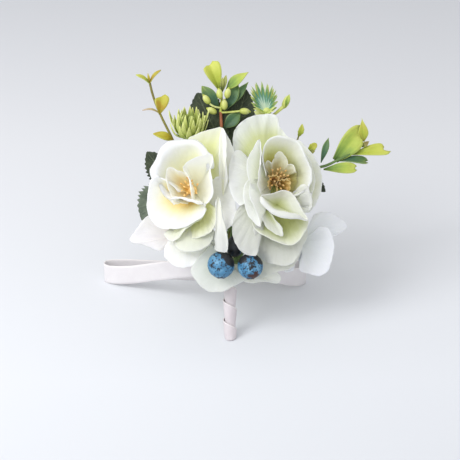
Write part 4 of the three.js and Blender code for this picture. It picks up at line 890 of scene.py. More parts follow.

# %% [markdown]
# The right rose is cooler in colour and a little more closed. A tall petal stands behind it, a hood
# arches over its brown throat, a rolled petal lies across the front and a green hollow opens below. The
# throat's brown is partly dye and partly painted shade, and the hollow's green is painted shade.

# %% Right rose
RIGHT_LAYERS = [[
    ([(256, 193, -11), (250.6, 183, -13), (248, 174, -14), (247.6, 164, -14.8), (250, 154, -15.6),
      (254, 146, -16.2), (258.2, 139.2, -16.8), (259.8, 146, -17), (260.6, 156, -17.4), (260.4, 166, -17.6),
      (259, 176, -17.6), (258.4, 186, -17.2), (261.4, 193.4, -15)],
     dict(cup=0.8, ruffle=0.6, pleat=0.5, silk=right_lit)),
    ([(261.6, 196, -14.5), (269, 195, -12.5), (277, 192.8, -12.8), (285.5, 191.6, -13.2),
      (292.5, 194.4, -13.8), (297.5, 201, -14.4), (302, 211, -15), (308, 219.6, -15.8),
      (298, 214.6, -17.8, 2.6), (288, 212.4, -18.6, 3), (279, 210.4, -18.6, 3), (271.5, 206.6, -18.2, 2.8),
      (263.8, 198.4, -17, 2.4), (261.4, 196, -14.6)],
     dict(cup=0.8, lip=0.5, roll=140, ruffle=0.4, root=(277, 205, -8.5), silk=right_fold)),
    ([(266, 173, -8), (265.4, 164, -10), (268, 160.4, -10.6), (272, 163.6, -10.4), (274.6, 157, -11),
      (278, 153.6, -11.4), (282, 153.4, -11.4), (285, 159.6, -10.6), (288, 164.6, -10), (294, 166, -9.6),
      (297, 172, -8.4)], dict(cup=0.6, ruffle=1.4, pleat=0.9, silk=right_inner)),
    ([(270, 190, -9), (268, 184, -11), (270, 177, -12.4), (274.6, 174.6, -12.8), (279, 178, -12),
      (280, 185, -10)], dict(cup=0.3, ruffle=0.9, pleat=1.4, silk=right_brown)),
    ([(279, 193, -9), (277, 186, -11), (280, 179.6, -12), (285, 179, -12), (289, 184, -11), (288, 192, -9)],
     dict(cup=0.3, ruffle=0.9, pleat=1.4, silk=right_brown)),
], [
    ([(266.5, 176, -11), (264.6, 166, -13.6), (264, 156, -15), (264.6, 148, -15.6), (267.6, 142.6, -16),
      (273, 139, -16), (282, 138.4, -15.5), (292, 140.4, -14.6), (298.4, 145, -14), (303.4, 154, -13),
      (307.6, 163.6, -12), (309.6, 172, -11.2), (309, 181, -10.6), (305, 189, -10), (298, 194, -9),
      (290, 195, -8)], dict(cup=0.9, lip=1.2, roll=90, ruffle=0.5)),
    ([(292, 196, -8), (297, 189, -9.4), (301.6, 184.8, -10.4), (306.4, 186, -10.8), (310, 193, -10.4),
      (311.4, 201, -9.8), (309.6, 209, -9.4), (303, 213, -9)],
     dict(cup=0.4, silk=right_fold, root=(286, 203, -5))),
    ([(300, 166, -5), (302, 153, -8), (308.6, 160, -8.3), (313.4, 172, -8), (314.4, 183, -8),
      (311.6, 195, -8.4), (307, 206, -9), (296, 206, -7)], dict(cup=0.6)),
    ([(257, 215, -11), (252.8, 222, -12), (256, 229, -14), (265, 235.6, -15.8), (276, 240.6, -16.4),
      (287, 245.2, -16), (296, 242, -14.6), (303, 233.4, -12.6), (308.4, 222.6, -10.4), (304, 213, -8)],
     dict(cup=0.8, ruffle=0.5, silk=right_shade)),
    ([(250, 178, -11), (245.4, 186, -11.6), (244, 197, -12.8), (246.6, 210, -14), (252.6, 220.6, -15),
      (260.8, 226.2, -15.6), (259.8, 219, -15.8), (256.4, 211, -15.6), (252.4, 202, -15.2),
      (249.6, 192, -14.4), (250.6, 183, -12.5)], dict(cup=0.5, ruffle=0.5, silk=right_lit)),
    ([(263, 213.6, -13.6), (263, 220, -14.6), (267, 227.4, -15.2), (274, 232.6, -15.4), (282.4, 235.4, -15),
      (281.4, 229.6, -14.6), (278, 223, -14.2), (274, 217, -13.6)],
     dict(cup=0.5, ruffle=0.5, root=(267, 210, -10), silk=right_fold)),
], [
    ([(246, 166, -4), (238, 158, -4), (234.2, 150, -4.4), (233.2, 140, -4.4), (234.8, 131.6, -4.4),
      (240, 125.2, -4.6), (248, 118.8, -4.6), (257, 115.8, -4.4), (266, 114.5, -4), (273, 114.6, -3.6),
      (278.4, 118.6, -3.6), (280, 127, -4), (285, 134, -4.4), (289, 140, -4.6), (288, 152, -4)],
     dict(cup=0.5, pleat=1.1, ruffle=1, silk=right_back, columns=64)),
    ([(246, 156, -5), (240, 150.6, -5.6), (234, 153, -6.5), (230, 166, -8), (229.6, 182, -9),
      (233, 196.6, -10), (238.6, 203.4, -11), (244, 204, -11), (249, 196, -9.4)],
     dict(cup=0.45, pleat=0.6, silk=right_lit)),
    ([(252, 226, -9.5), (251, 234, -10.4), (255.6, 247, -11.8), (261, 257, -12.4), (269, 262.2, -12.8),
      (283, 265, -12.4), (292, 262.8, -11.6), (297.6, 255.6, -10.6), (303, 245, -9.4), (307.6, 234, -8),
      (306, 222, -6)], dict(cup=0.3, silk=right_shaded)),
], [
    ([(292, 146, -1.6), (298, 140.4, -2), (306, 147.6, -2.5), (314.4, 157.6, -2.3), (319.8, 169.4, -2),
      (321.4, 181, -2), (319.6, 193.6, -3), (314, 206, -5), (308, 212, -6), (300, 208, -5)], dict(cup=0.5)),
    ([(246, 204, -8), (240, 206, -8.6), (235, 215.6, -11), (232.6, 228, -13.6), (234, 239.6, -15.8),
      (239.6, 248.6, -17.4), (246.2, 253, -18.4), (253, 254.6, -18.6), (257.6, 253, -18), (257.6, 244, -16),
      (253, 230, -13)], dict(cup=0.3, ruffle=0.5, pleat=0.9, silk=right_shaded)),
    ([(250, 258, -7), (244.6, 266, -8), (243, 274, -9), (248, 279.6, -9.2), (256, 279.4, -9.2),
      (264, 276.8, -9), (277, 271.4, -9), (289.4, 268.4, -8.2), (297, 260, -7.2), (302, 248, -6)],
     dict(cup=0.3, silk=right_shaded)),
]]
rose("right_rose", RIGHT_HUB, RIGHT_AXIS, right_silk, RIGHT_LAYERS)

# %% [markdown]
# ## Stamens and calyx
# The throat is filled with short dyed threads that end in a small bead of glue and powder. The left rose has
# golden ones and the right rose brown ones. A green calyx closes each rose at the back.

# %% Stamens
gold = mottled("golden_thread", 0.7, 0.0015, (0.3, "#f6c064"), (0.7, "#fddfa0"))
brown = mottled("brown_thread", 0.7, 0.0015, (0.3, "#c8964e"), (0.7, "#ecd092"))
GOLDEN_ANGLE = math.radians(137.5)
THROAT, THREAD_LENGTH, THREAD_RADIUS = 4.9, 6.4, 0.17


def around(axis, angle):
    """The direction square to the axis, clockwise from the top as seen from the front"""
    up = (Vector((0, 0, 1)) - axis * axis.z).normalized()
    return up * math.cos(angle) + up.cross(axis) * math.sin(angle)


def stamens(name, hub, axis, finish, slot, spread, count):
    root = hub + axis * THROAT
    parts = [turned([(2.2, 0), (1.9, 1.2), (1, 2)], root, axis, finish, 20)]
    for i in range(count):
        share = math.sqrt((i + 0.5) / count)
        out = around(axis, i * GOLDEN_ANGLE)
        way = (axis + out * math.tan(math.radians(spread) * share)).normalized()
        foot = root + out * 1.5 * share + axis * 0.6
        tip = foot + way * (THREAD_LENGTH + 1.6 * noise.noise(Vector((i * 1.7, 3, 7))))
        parts.append(tube([foot, foot.lerp(tip, 0.5) + out * 0.3, tip], THREAD_RADIUS, finish, 1))
        parts.append(ball(tip, (0.42, 0.42, 0.65), out + way, finish, 5))
    dress(joined(name + "_threads", parts), slot, name)
    print(name, "has", count, "threads")


stamens("left_rose_stamens", LEFT_HUB, LEFT_AXIS, gold, "stamen_gold", 32, 16)
stamens("right_rose_stamens", RIGHT_HUB, RIGHT_AXIS, brown, "stamen_brown", 36, 24)

# %% [markdown]
# Leaves of every kind share one helper: a grid that is folded along its midrib and bowed from base to tip.
# Its outline has a widest place and a more or less blunt tip, and it may have teeth.

# %% One leaf


def leaf(base, tip, wide, finish, facing=(0, -1, 0), fold=0.25, bow=1.0, widest=0.5, blunt=0.8, teeth=0,
         stalk=0.12, notch=0.0, slant=0.0, thickness=0.4, rows=16, columns=8, curl=0.0):
    base, tip = Vector(base), Vector(tip)
    way = (tip - base).normalized()
    face = Vector(facing)
    face = (face - way * face.dot(way)).normalized()
    side = way.cross(face)
    length = (tip - base).length
    rows = max(rows, 6 * teeth)

    def surface(along, across):
        share = 2 * across - 1
        if along < widest:
            outline = stalk + (1 - stalk) * math.sin(math.pi / 2 * along / widest) ** 1.2
        else:
            outline = max(0.03, math.cos(math.pi / 2 * (along - widest) / (1 - widest))) ** blunt
        if teeth:
            outline *= 1 - 0.2 * (1 - (along * teeth) % 1)
        half = wide / 2 * outline
        reach = along + along ** 3 * (slant * share - notch * along ** 3 * (1 - share ** 2))
        lift = fold * abs(share) * half + bow * math.sin(math.pi * along) - curl * along ** 3
        return base + way * length * reach + side * share * half + face * lift

    return grid_sheet(rows, columns, surface, thickness, finish)


print("a leaf is made by", leaf.__name__)

# %% [markdown]
# The calyx is a small turned cup behind the petals. Its sepals are the first leaves.

# %% Calyx
calyx_green = mottled("calyx", 0.75, 0.004, (0.3, "#5d7a3f"), (0.7, "#7c9a55"))
CALYX = [(1.2, -3), (2.6, -2.8), (3.8, -2.1), (4.2, -1.2), (3.9, -0.7), (1, -0.7)]
SEPALS = 5
for name, hub, axis in (("left_rose_calyx", LEFT_HUB, LEFT_AXIS),
                        ("right_rose_calyx", RIGHT_HUB, RIGHT_AXIS)):
    parts = [turned(CALYX, hub, axis, calyx_green)]
    for i in range(SEPALS):
        out = around(axis, math.radians(360 / SEPALS * i + 20))
        parts.append(leaf(hub + out * 3.4 - axis * 1.9, hub + out * 10 - axis * 1.6, 3.6, calyx_green, -axis,
                          fold=0.2, bow=0.5, widest=0.4, blunt=1.1))
    dress(joined(name + "_cup", parts), "wire_green", name)
print("sepals:", SEPALS, "on each calyx cup")

# %% [markdown]
# ## Florets
# Three single florets of the same silk fill the lower edge: a bluish white one on the right, a blush one on
# the left and a greenish white one behind the berries.

# %% Florets
FRONT_FLORET, FRONT_FLORET_AXIS = Vector((-2.6, -7.2, 34.5)), Vector((-0.05, -1, 0)).normalized()
FLORETS = {
    "right_floret": (RIGHT_FLORET, RIGHT_FLORET_AXIS, white_silk, "floret_white", [
        [(302, 254, 1), (299, 268, 0), (306, 271.5, -1), (318.5, 274.4, -2), (325.4, 270.8, -2.5),
         (330, 261.8, -3), (332.4, 248, -3), (332, 239, -3), (327, 229, -2), (318, 227, -1)],
        [(313, 216, 5), (322, 213, 6), (332, 214.6, 7), (340, 219, 8), (344.6, 223.6, 8.5),
         (345.4, 228.6, 8), (340, 232.4, 7), (332, 235.4, 5)],
        [(296, 250, 2), (288, 256, 2), (282, 265, 1), (286, 271, 1), (294, 269, 1)],
        [(294, 236, 4), (288, 229, 5), (292, 222, 5), (300, 225, 5)]]),
    "left_floret": (LEFT_FLORET, LEFT_FLORET_AXIS, pink_silk, "floret_pink", [
        [(167, 222, 3), (156, 215.5, 2), (147, 218, 1), (139, 228, 0), (131.4, 238.4, 0), (133, 242, 0),
         (139, 243, 0), (150, 246, 1), (160, 250, 2), (167, 247, 3)],
        [(176, 248, 3), (175, 256, 2), (170, 260, 2), (165, 255, 2), (166, 248, 3)],
        [(166, 226, 4), (167, 216, 5), (175, 210, 5), (181, 216, 5), (180, 227, 4)]]),
    "front_floret": (FRONT_FLORET, FRONT_FLORET_AXIS, green_silk, "floret_white", [
        [(213, 245, -8.6), (203.6, 253, -9.6), (197, 261, -10), (193, 270, -10), (196, 278.6, -9.6),
         (203.4, 286.8, -9.2), (213, 291, -9), (224, 289.8, -9), (233, 285, -8.6), (241, 281, -8.4),
         (247, 276, -8.2)],
        [(239, 276, -6.4), (243, 280.6, -6.5), (252, 282.4, -6.8), (262, 281, -7), (271, 282.4, -7),
         (277.6, 282.4, -6.8), (280, 278.4, -6.6), (277, 273, -6.4), (268, 269, -6.2)],
        [(212, 246, -8), (210, 238, -8), (216, 232, -8), (224, 236, -8)]]),
}
for name, (hub, axis, finish, slot, lobes) in FLORETS.items():
    parts = [petal(hub, axis, rim, finish, cup=0.4, lip=0.8, rows=16) for rim in lobes]
    parts.append(ball(hub, (2.4, 2.4, 0.7), axis, finish, 8))
    floret = dress(joined(name + "_lobes", parts), slot, name)
    print(floret.name, die_cut(floret), "square mm")

# %% [markdown]
# ## Toothed leaves
# The dark leaves behind the roses are cut from velvet with a saw edge, and their veins are pressed in.
# Velvet is dark where it is seen straight on and paler at a slant, which the sheen gives.

# %% Velvet finishes
VEIN_RATE = 44


def velvet(name, dark, light, vein):
    made = Finish(name, 0.9, Sheen_Weight=0.4, Sheen_Roughness=0.4)
    made.shader.inputs["Sheen Tint"].default_value = rgb("#a3b094")
    off_middle = (made.across - 0.5).size()
    slant = VEIN_RATE * (made.along - 0.55 * off_middle)
    veins = slant.math("SINE", slant).between(0.75, 1)
    midrib = 1 - off_middle.between(0.01, 0.04)
    plain = made.grain(0.004, 4).ramp((0.3, dark), (0.7, light))
    made.colour((0.55 * midrib + 0.3 * veins).mixed(plain, rgb(vein)))
    made.bump(midrib + 0.6 * veins + 0.3 * made.grain(0.0006), 0.0005, 0.7)
    return made


dark_velvet = velvet("dark_velvet", "#2b352a", "#464f3c", "#6a745c")
# A greyer copy of the same velvet: painted sheen for the lower left leaf.
velvet_painted_sheen = velvet("velvet_painted_sheen", "#566354", "#7c8877", "#8d9886")
print("velvets:", dark_velvet.material.name, velvet_painted_sheen.material.name)

# %% [markdown]
# Each leaf is a line from base to tip, a width and a number of teeth. The lower left one gets a greyer copy
# of the velvet: painted sheen where the window light grazes it.

# %% Cut the leaves
LEAVES = {
    "top_left_leaf": ((-3.6, 12.5, 88), (-15.2, 12, 112.4), 21, 16),
    "top_right_leaf": ((0.6, 14.5, 88), (7.4, 13, 114.2), 17.6, 16),
    "upper_left_leaf": ((-24.8, 12.5, 67.6), (-38.4, 12, 85.2), 14.6, 13),
    "lower_left_leaf": ((-27, 11.5, 70), (-40.6, 10, 53.6), 19.6, 12),
    "right_leaf": ((36.6, 9, 72.6), (43.8, 8, 66.7), 5.8, 7),
}
for name, (base, tip, wide, teeth) in LEAVES.items():
    cloth = velvet_painted_sheen if name == "lower_left_leaf" else dark_velvet
    blade = leaf(base, tip, wide, cloth, fold=0.22, bow=1.5, blunt=0.75, teeth=teeth, stalk=0.25,
                 columns=12)
    piece = dress(joined(name + "_velvet", [blade]), "leaf_dark", name)
print("leaves:", len(LEAVES))

# %% [markdown]
# ## Moulded sprigs
# The greenery is moulded in soft plastic and then tinted by hand: yellow-green at the tips, deep green
# towards the base, with a breath of orange here and there. Old parts of the stalks are reddish brown.

# %% Moulded finishes


def moulded(name, *stops, blush=0.5, rust="#8a6a2a", rim="#c6cf6c"):
    made = Finish(name, 0.5)
    tint = made.along + 0.5 * (made.grain(0.004, 3) - 0.5) + 0.7 * (made.streaks(6, 1.2) - 0.5)
    worn = made.grain(0.006, 3).between(0.5, 0.68) * blush
    edge = (made.across - 0.5).size().between(0.42, 0.49)
    painted = worn.mixed(tint.ramp(*stops), rgb(rust))
    made.colour((0.6 * edge).mixed(painted, rgb(rim)))
    made.bump(made.streaks(16) + 0.3 * made.grain(0.001), 0.0003, 0.5)
    return made


lime = moulded("lime_leaf", (0, "#74832a"), (0.35, "#a9b63c"), (1, "#c8ce5a"), blush=0.3, rust="#a8822a")
ochre = moulded("ochre_leaf", (0, "#86741c"), (0.4, "#b0a52c"), (0.8, "#b9b43a"), blush=0.7, rust="#a97a1c")
fresh = moulded("fresh_leaf", (0, "#54742f"), (0.35, "#86a443"), (0.7, "#adbf50"), (1, "#c3cd63"), blush=0.2)
olive = moulded("olive_leaf", (0, "#4a5a28"), (0.4, "#7f8440"), (0.8, "#9ea354"), (1, "#b3b566"), blush=0.75,
                rust="#806636")
deep = moulded("deep_leaf", (0, "#2c4f38"), (0.5, "#3d6446"), (0.85, "#587a44"), (1, "#8fa352"), blush=0.25,
               rust="#4f5a2c", rim="#8fa65e")
blush_leaf = moulded("blush_leaf", (0, "#a5a348"), (0.5, "#c2b27c"), (1, "#d3bfa8"), blush=0, rim="#b79d7c")
pale = moulded("pale_bud", (0, "#a4b04a"), (0.5, "#cbd274"), (1, "#e0e5a4"), blush=0.1, rim="#d0d888")
bark = mottled("stalk", 0.55, 0.008, (0.35, "#6a6220"), (0.55, "#868238"), (0.75, "#6f6a28"))
russet = mottled("russet_stalk", 0.55, 0.004, (0.3, "#8f5032"), (0.7, "#bb7650"))
print("greens:", [f.material.name for f in (lime, ochre, fresh, olive, deep, blush_leaf, pale)])

# %% [markdown]
# The left and right sprigs bend by hand. Each stalk is one tube from the binding to the tip.

# %% One bending sprig
LEAF_DEPTH, LEAF_TILT, BEND_ROOM, STALK_RADIUS = 7, 0.6, 1.2, 0.65


def leaves_of(rows):
    """Leaves from pixels: base, tip, width in millimetres, finish and how they are shaped"""
    made = []
    for (x0, y0), (x1, y1), wide, finish, how in rows:
        depth = how.pop("depth", LEAF_DEPTH)
        base, tip = seen(x0, y0, depth + LEAF_TILT), seen(x1, y1, depth - LEAF_TILT)
        made.append(leaf(base, tip, wide, finish, **how))
    return made


def bending_sprig(name, stub, stalk, radii, skin, leaf_rows):
    stem = joined(name + "_stalk", [tube([*stub, *stalk], radii, skin)])
    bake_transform(stem)
    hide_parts(name + "_stub")
    leaves = joined(name + "_leaves", leaves_of(leaf_rows))
    dress(leaves, "sprig_green", name, body=name)
    print(name, "with", len(leaf_rows), "leaves")


print("a stalk bends over", 2 * BEND_ROOM, "mm")

# %% [markdown]
# The left sprig is thin and ends in a fork of two leaves. A broad one sits at its bend.

# %% Left sprig
bending_sprig(
    "left_sprig", [standing(OUTER_RING, 150), (-12, 11, 53), (-20, 13, 73), (-26, 8.4, 89.7)],
    [seen(160, 113.6, 8), seen(154, 98.6, 8), seen(150.2, 84.6, 8), seen(149.4, 79.6, 8)],
    [*[STALK_RADIUS] * 3, 0.6, 0.55, 0.55, 0.55, 0.35], bark,
    [
        ((150, 84), (135.8, 74.8), 2.1, lime, dict(widest=0.66, stalk=0.3, facing=(0.3, -0.7, 0.6))),
        ((150, 83), (161, 70), 1.9, ochre, dict(widest=0.6, stalk=0.3, facing=(-0.3, -0.7, 0.6))),
        ((149.6, 82), (147.8, 73), 1.2, ochre, dict(widest=0.4, stalk=0.5)),
        ((159.4, 114.2), (162.2, 96), 6.5, ochre,
         dict(widest=0.82, blunt=0.28, fold=0.3, slant=0.12, facing=(0.2, -1, 0.1))),
        ((159.6, 113.4), (142.6, 109.4), 1.7, blush_leaf, dict(widest=0.45, facing=(0, -0.5, 1), curl=0.5)),
        ((173.6, 140.6), (153, 133.8), 4.4, ochre, dict(widest=0.45, fold=0.2, facing=(0.2, -0.8, 0.5))),
    ])

# %% [markdown]
# The right sprig fans out in broad leaves with blunt, slightly notched tips, pale above and deep green
# below.

# %% Right sprig
bending_sprig(
    "right_sprig", [standing(OUTER_RING, 30), (14, 11, 50), (29, 13, 66), (40.9, 6.5, 77.7)],
    [seen(326, 165.6, 6), seen(337, 160.4, 6), seen(350, 154, 6), seen(362, 145, 6)],
    [*[STALK_RADIUS] * 5, 0.6, 0.5, 0.35], wire_green,
    [
        ((321, 162.6), (328.6, 137.6), 3, deep, dict(widest=0.6, blunt=1.1, depth=5)),
        ((335, 160.4), (361, 131), 10, fresh,
         dict(widest=0.7, blunt=0.3, fold=0.25, slant=-0.12, notch=0.06, stalk=0.3, facing=(0.3, -1, 0.2))),
        ((363.8, 141.4), (362, 118.2), 4.6, lime, dict(widest=0.36, blunt=1.5, depth=6)),
        ((361, 147), (369, 141.4), 2.4, olive, {}),
        ((352, 154.4), (387.6, 149.6), 6.4, lime,
         dict(widest=0.84, blunt=0.25, notch=0.1, slant=0.08, facing=(0, -1, 0.5))),
        ((337, 160.8), (368, 162), 5, deep,
         dict(widest=0.78, blunt=0.35, notch=0.08, facing=(0, -0.8, 0.8))),
        ((323.6, 169.4), (357, 168.4), 5.4, fresh,
         dict(widest=0.7, blunt=0.3, notch=0.06, facing=(0, -1, 0.3), depth=6)),
    ])

# %% [markdown]
# The centre sprig stands upright behind the roses. Two pale leaves spread at its top, darker ones sit below
# them, and small buds hang around its russet stalk.

# %% Centre sprig
sprig = [
    tube([standing(INNER_RING, 90), (-0.5, 7.6, 58), (-3.5, 9, 84), seen(221.5, 127, 8)],
         STALK_RADIUS, bark),
    tube([seen(221.5, 127, 8), seen(221, 119, 8), seen(220.6, 112, 8)], 0.72, russet),
    tube([seen(220.6, 112, 8), seen(221.6, 100, 8), seen(221.4, 88, 8), seen(223, 80, 8)],
         [0.7, 0.6, 0.5, 0.35], lime),
    tube([seen(221, 112.6, 8), seen(231, 112, 6.6), seen(241, 111, 6)], 0.5, pale),
    tube([seen(221, 108, 8), seen(213, 106, 6.6), seen(207, 101, 6)], 0.5, pale),
    *leaves_of([
        ((219, 90), (209, 63.4), 8.2, lime,
         dict(widest=0.86, blunt=0.26, fold=0.55, notch=0.06, slant=0.04, facing=(0.2, -1, 0.1))),
        ((222.4, 92), (226.2, 75), 2.2, olive, dict(widest=0.6)),
        ((221.4, 90), (222.6, 77.4), 1.7, olive, dict(widest=0.5, depth=6.6)),
        ((226.4, 89.6), (248.4, 72.2), 5.2, fresh,
         dict(widest=0.42, blunt=1.1, fold=0.3, facing=(0.1, -0.9, 0.5))),
        ((218.8, 108), (201.8, 86), 6, deep, dict(widest=0.55, fold=0.35, depth=8.6)),
        ((226, 110), (238, 84), 5.6, deep, dict(widest=0.55, fold=0.4, depth=9)),
        ((228, 107), (248.4, 82), 4, deep, dict(widest=0.5, blunt=1.1, fold=0.4, depth=9.6)),
        ((224, 128), (240.4, 113), 6, deep, dict(widest=0.55, blunt=0.9, depth=8.4)),
    ]),
]
BUDS = [((219.6, 94), (-0.15, 0, 1)), ((227.6, 93.4), (0.2, 0, 1)), ((224.4, 105), (0, 0, 1)),
        ((206.6, 99.6), (-0.7, 0, 1)), ((212, 110.8), (-1, 0, 0.5)), ((244.6, 111.2), (1, 0, -0.1))]
for (x, y), way in BUDS:
    spot = seen(x, y, 5.8)
    sprig.append(ball(spot, (1.5, 1.5, 2.4), way, pale, 10))
    sprig.append(ball(spot + Vector(way).normalized() * 2.2, (0.6, 0.6, 0.7), way, lime, 6))
dress(joined("centre_sprig_green", sprig), "sprig_green", "centre_sprig")
print("buds:", len(BUDS))

# %% [markdown]
# A back pick stands behind the right rose and shows only a few leaf tips.

# %% Back pick
pick = [
    tube([standing(INNER_RING, 0), (7, 7, 58), (20, 9.5, 76), (30, 8, 88), (31.6, 7.6, 92.4)],
         [*[STALK_RADIUS] * 3, 0.5, 0.35], bark),
    *leaves_of([
        ((298, 137), (302.2, 124), 3.2, lime, dict(widest=0.5, facing=(0.4, -1, 0), teeth=4)),
        ((308, 151), (316.6, 143.6), 3.8, lime, dict(widest=0.6, blunt=0.5, teeth=3)),
        ((309, 152.6), (315, 151), 2.4, olive, dict(widest=0.5, depth=6.4)),
    ]),
]
print("back pick:", len(pick), "parts")
dress(joined("back_pick_green", pick), "sprig_green", "back_pick")

# %% [markdown]
# ## Spiky flowers
# Two spiky heads peep over the roses: one is open like a thistle, and the other is a half-closed cup with a
# bluish green inside. Both have pale tips.

# %% Spiky finishes
blade_outer = moulded("blade_outer", (0, "#6f8c30"), (0.45, "#a3b747"), (1, "#dce28c"), blush=0.05,
                      rim="#e6eba4")
# The inner ring of blades is darker: painted shade inside the open head.
inner_blade_painted_shade = moulded("inner_blade_painted_shade", (0, "#335c3c"), (0.45, "#5c8a4a"), (1, "#c0ca74"), blush=0,
                      rim="#a9be6a")
cup_inner = moulded("cup_inner", (0, "#e3ecd8"), (0.3, "#b4d0bc"), (0.48, "#5f9281"), (0.7, "#5d8c56"),
                    (1, "#c3d07c"), blush=0, rim="#c9d8a8")
print("spiky greens:", [f.material.name for f in (blade_outer, inner_blade_painted_shade, cup_inner)])

# %% [markdown]
# The open head is made of rings of narrow strips that curl outwards. Each strip is a little out of step, in
# its turn, its slope and its length, because a moulded flower is never quite regular.

# %% Open head
HEAD, HEAD_AXIS = Vector((-18.8, 8, 91.6)), Vector((0.02, -0.5, 0.86)).normalized()
TURN_JITTER, LEAN_JITTER, REACH_JITTER = 20, 26, 0.35


def blades(base, axis, tiers):
    """Rings, or parts of a ring, of narrow strips around a slanting axis"""
    made = []
    for count, first, span, lean, reach, wide, curl, finish in tiers:
        for i in range(count):
            jitter = noise.noise(Vector((i * 2.3, lean, first)))
            out = around(axis, math.radians(first + span * i / (count - 1) + TURN_JITTER * jitter))
            slope = math.radians(lean + LEAN_JITTER * jitter)
            way = axis * math.cos(slope) + out * math.sin(slope)
            inward = axis * math.sin(slope) - out * math.cos(slope)
            root = base + out * 0.8 + axis * 0.4
            tip = root + way * reach * (1 + REACH_JITTER * jitter)
            made.append(leaf(root, tip, wide, finish, inward, fold=0.3, bow=-1.0, blunt=0.7, thickness=0.35,
                             rows=10, columns=4, curl=-curl))
    return made


head = blades(HEAD, HEAD_AXIS, [
    (12, 0, 330, 64, 10.4, 3, 5, blade_outer), (12, 14, 330, 46, 12.4, 2.8, 4.4, blade_outer),
    (11, 5, 328, 30, 13.4, 2.6, 3, blade_outer), (9, 20, 320, 16, 12, 2.2, 1, inner_blade_painted_shade)])
head.append(ball(HEAD, (2.2, 2.2, 1.8), HEAD_AXIS, inner_blade_painted_shade, 8))
print("open head:", len(head), "parts")
dress(joined("spiky_flower_head", head), "spiky_green", "spiky_flower")

# %% [markdown]
# The needles of the cup are grown together at the foot, so the petal's tool makes them, with deep teeth in
# the rim. A second layer stands behind the first, and a lower rim closes the front.

# %% Half-closed cup
CUP, CUP_AXIS = Vector((17, 6, 103.4)), Vector((-0.3, -0.78, 0.55)).normalized()
BEHIND = 1.6
inner_rim = [(255.6, 110.6, 4), (252, 104, 2.4), (250.4, 95, 1), (250.8, 87.6, 0), (253.6, 83.8, 0),
             (258, 81.2, 0), (263, 81.6, 0), (268.6, 83.8, 0.4), (273.6, 86.8, 1), (277, 93, 2),
             (277.8, 102, 3.2), (275.4, 110, 4.6)]
outer_rim = [(x, y + 1, depth + BEHIND) for x, y, depth in inner_rim]
low_rim = [(253, 104, 3), (253.6, 108, 1), (257, 111.4, 0), (262.6, 113, -0.4), (268.6, 113.2, 0.4),
           (273, 110.6, 2), (276.4, 105, 3.6)]
cup = [petal(CUP, CUP_AXIS, rim, finish, cup=0.45, lip=0.2, ruffle=0.4, pleat=0.5, teeth=teeth, jag=jag,
             root=(265.8, 112, depth))
       for rim, finish, teeth, jag, depth in ((inner_rim, cup_inner, 13, 0.42, 6),
                                              (outer_rim, blade_outer, 11, 0.4, 6 + BEHIND),
                                              (low_rim, blade_outer, 8, 0.5, 6))]
cup.append(ball(CUP, (2, 2, 2), CUP_AXIS, blade_outer, 8))
print("cup:", len(cup), "parts")
dress(joined("spiky_cup_head", cup), "spiky_green", "spiky_cup")

# %% [markdown]
# Both heads stand on a thin stalk. The stalk of the cup forks and carries a bud and two small leaves.

# %% Stalks of the heads
flower_stalk = joined("spiky_flower_stalk", [
    tube([standing(OUTER_RING, 120), (-5, 11, 55), (-11, 12, 74), (-18.3, 8.8, 90)], STALK_RADIUS, bark)])
dress(flower_stalk, "sprig_green", "spiky_flower_stem")
cup_stalk = joined("spiky_cup_stalk", [
    tube([standing(OUTER_RING, 60), (7, 11, 55), (13, 12.5, 79), (17.3, 7.6, 101.6)], STALK_RADIUS, bark),
    tube([(16.6, 8, 99.6), (21, 6.6, 102.7), (24.4, 6, 105.6)], [STALK_RADIUS, STALK_RADIUS, 0.85], pale),
    ball((25.7, 6, 107.8), (1.6, 1.6, 3.3), (0.45, 0, 1), pale, 10),
    leaf((25.4, 5, 105.6), (27.2, 4.8, 111.2), 2, fresh),
    leaf((16.8, 7.6, 100.6), (11, 5, 103.4), 3.2, pale)])
dress(cup_stalk, "sprig_green", "spiky_cup_stem")
print("stalks:", flower_stalk.name, cup_stalk.name)

# %% [markdown]
# ## Berries
# The berries are foam balls dipped in blue paint. Darker paint was splashed on, so they are speckled. They
# have black patches at the top and one brown patch. The blossom end is a small pressed ring underneath.

# %% Berry finishes


def speckled(name, centre, patches):
    made = Finish(name, 0.5)
    offset = made.spot.node("ShaderNodeVectorMath", {"operation": "SUBTRACT"},
                            {0: made.spot, 1: LEANED @ centre})
    facing = made.spot.node("ShaderNodeVectorMath", {"operation": "NORMALIZE"}, {0: offset})
    colour = made.grain(0.0028, 4).ramp((0.25, "#2c6489"), (0.5, "#4c89b1"), (0.8, "#7db0cd"))
    specks = made.grain(0.0008, 3).between(0.54, 0.6) * made.grain(0.0035, 2).between(0.36, 0.48)
    colour = specks.mixed(colour, rgb("#141d28"))
    ragged = 0.4 * (made.grain(0.0014, 4) - 0.5)
    for way, size, code in patches:
        direction = (LEANED.to_3x3() @ Vector(way)).normalized()
        near = made.spot.node("ShaderNodeVectorMath", {"operation": "DOT_PRODUCT"},
                              {0: facing, 1: direction}, "Value")
        edge = math.cos(math.radians(size))
        colour = (near + ragged).between(edge - 0.02, edge + 0.03).mixed(colour, rgb(code))
    made.colour(colour)
    made.bump(made.grain(0.0007, 4), 0.0003, 0.5)
    return made


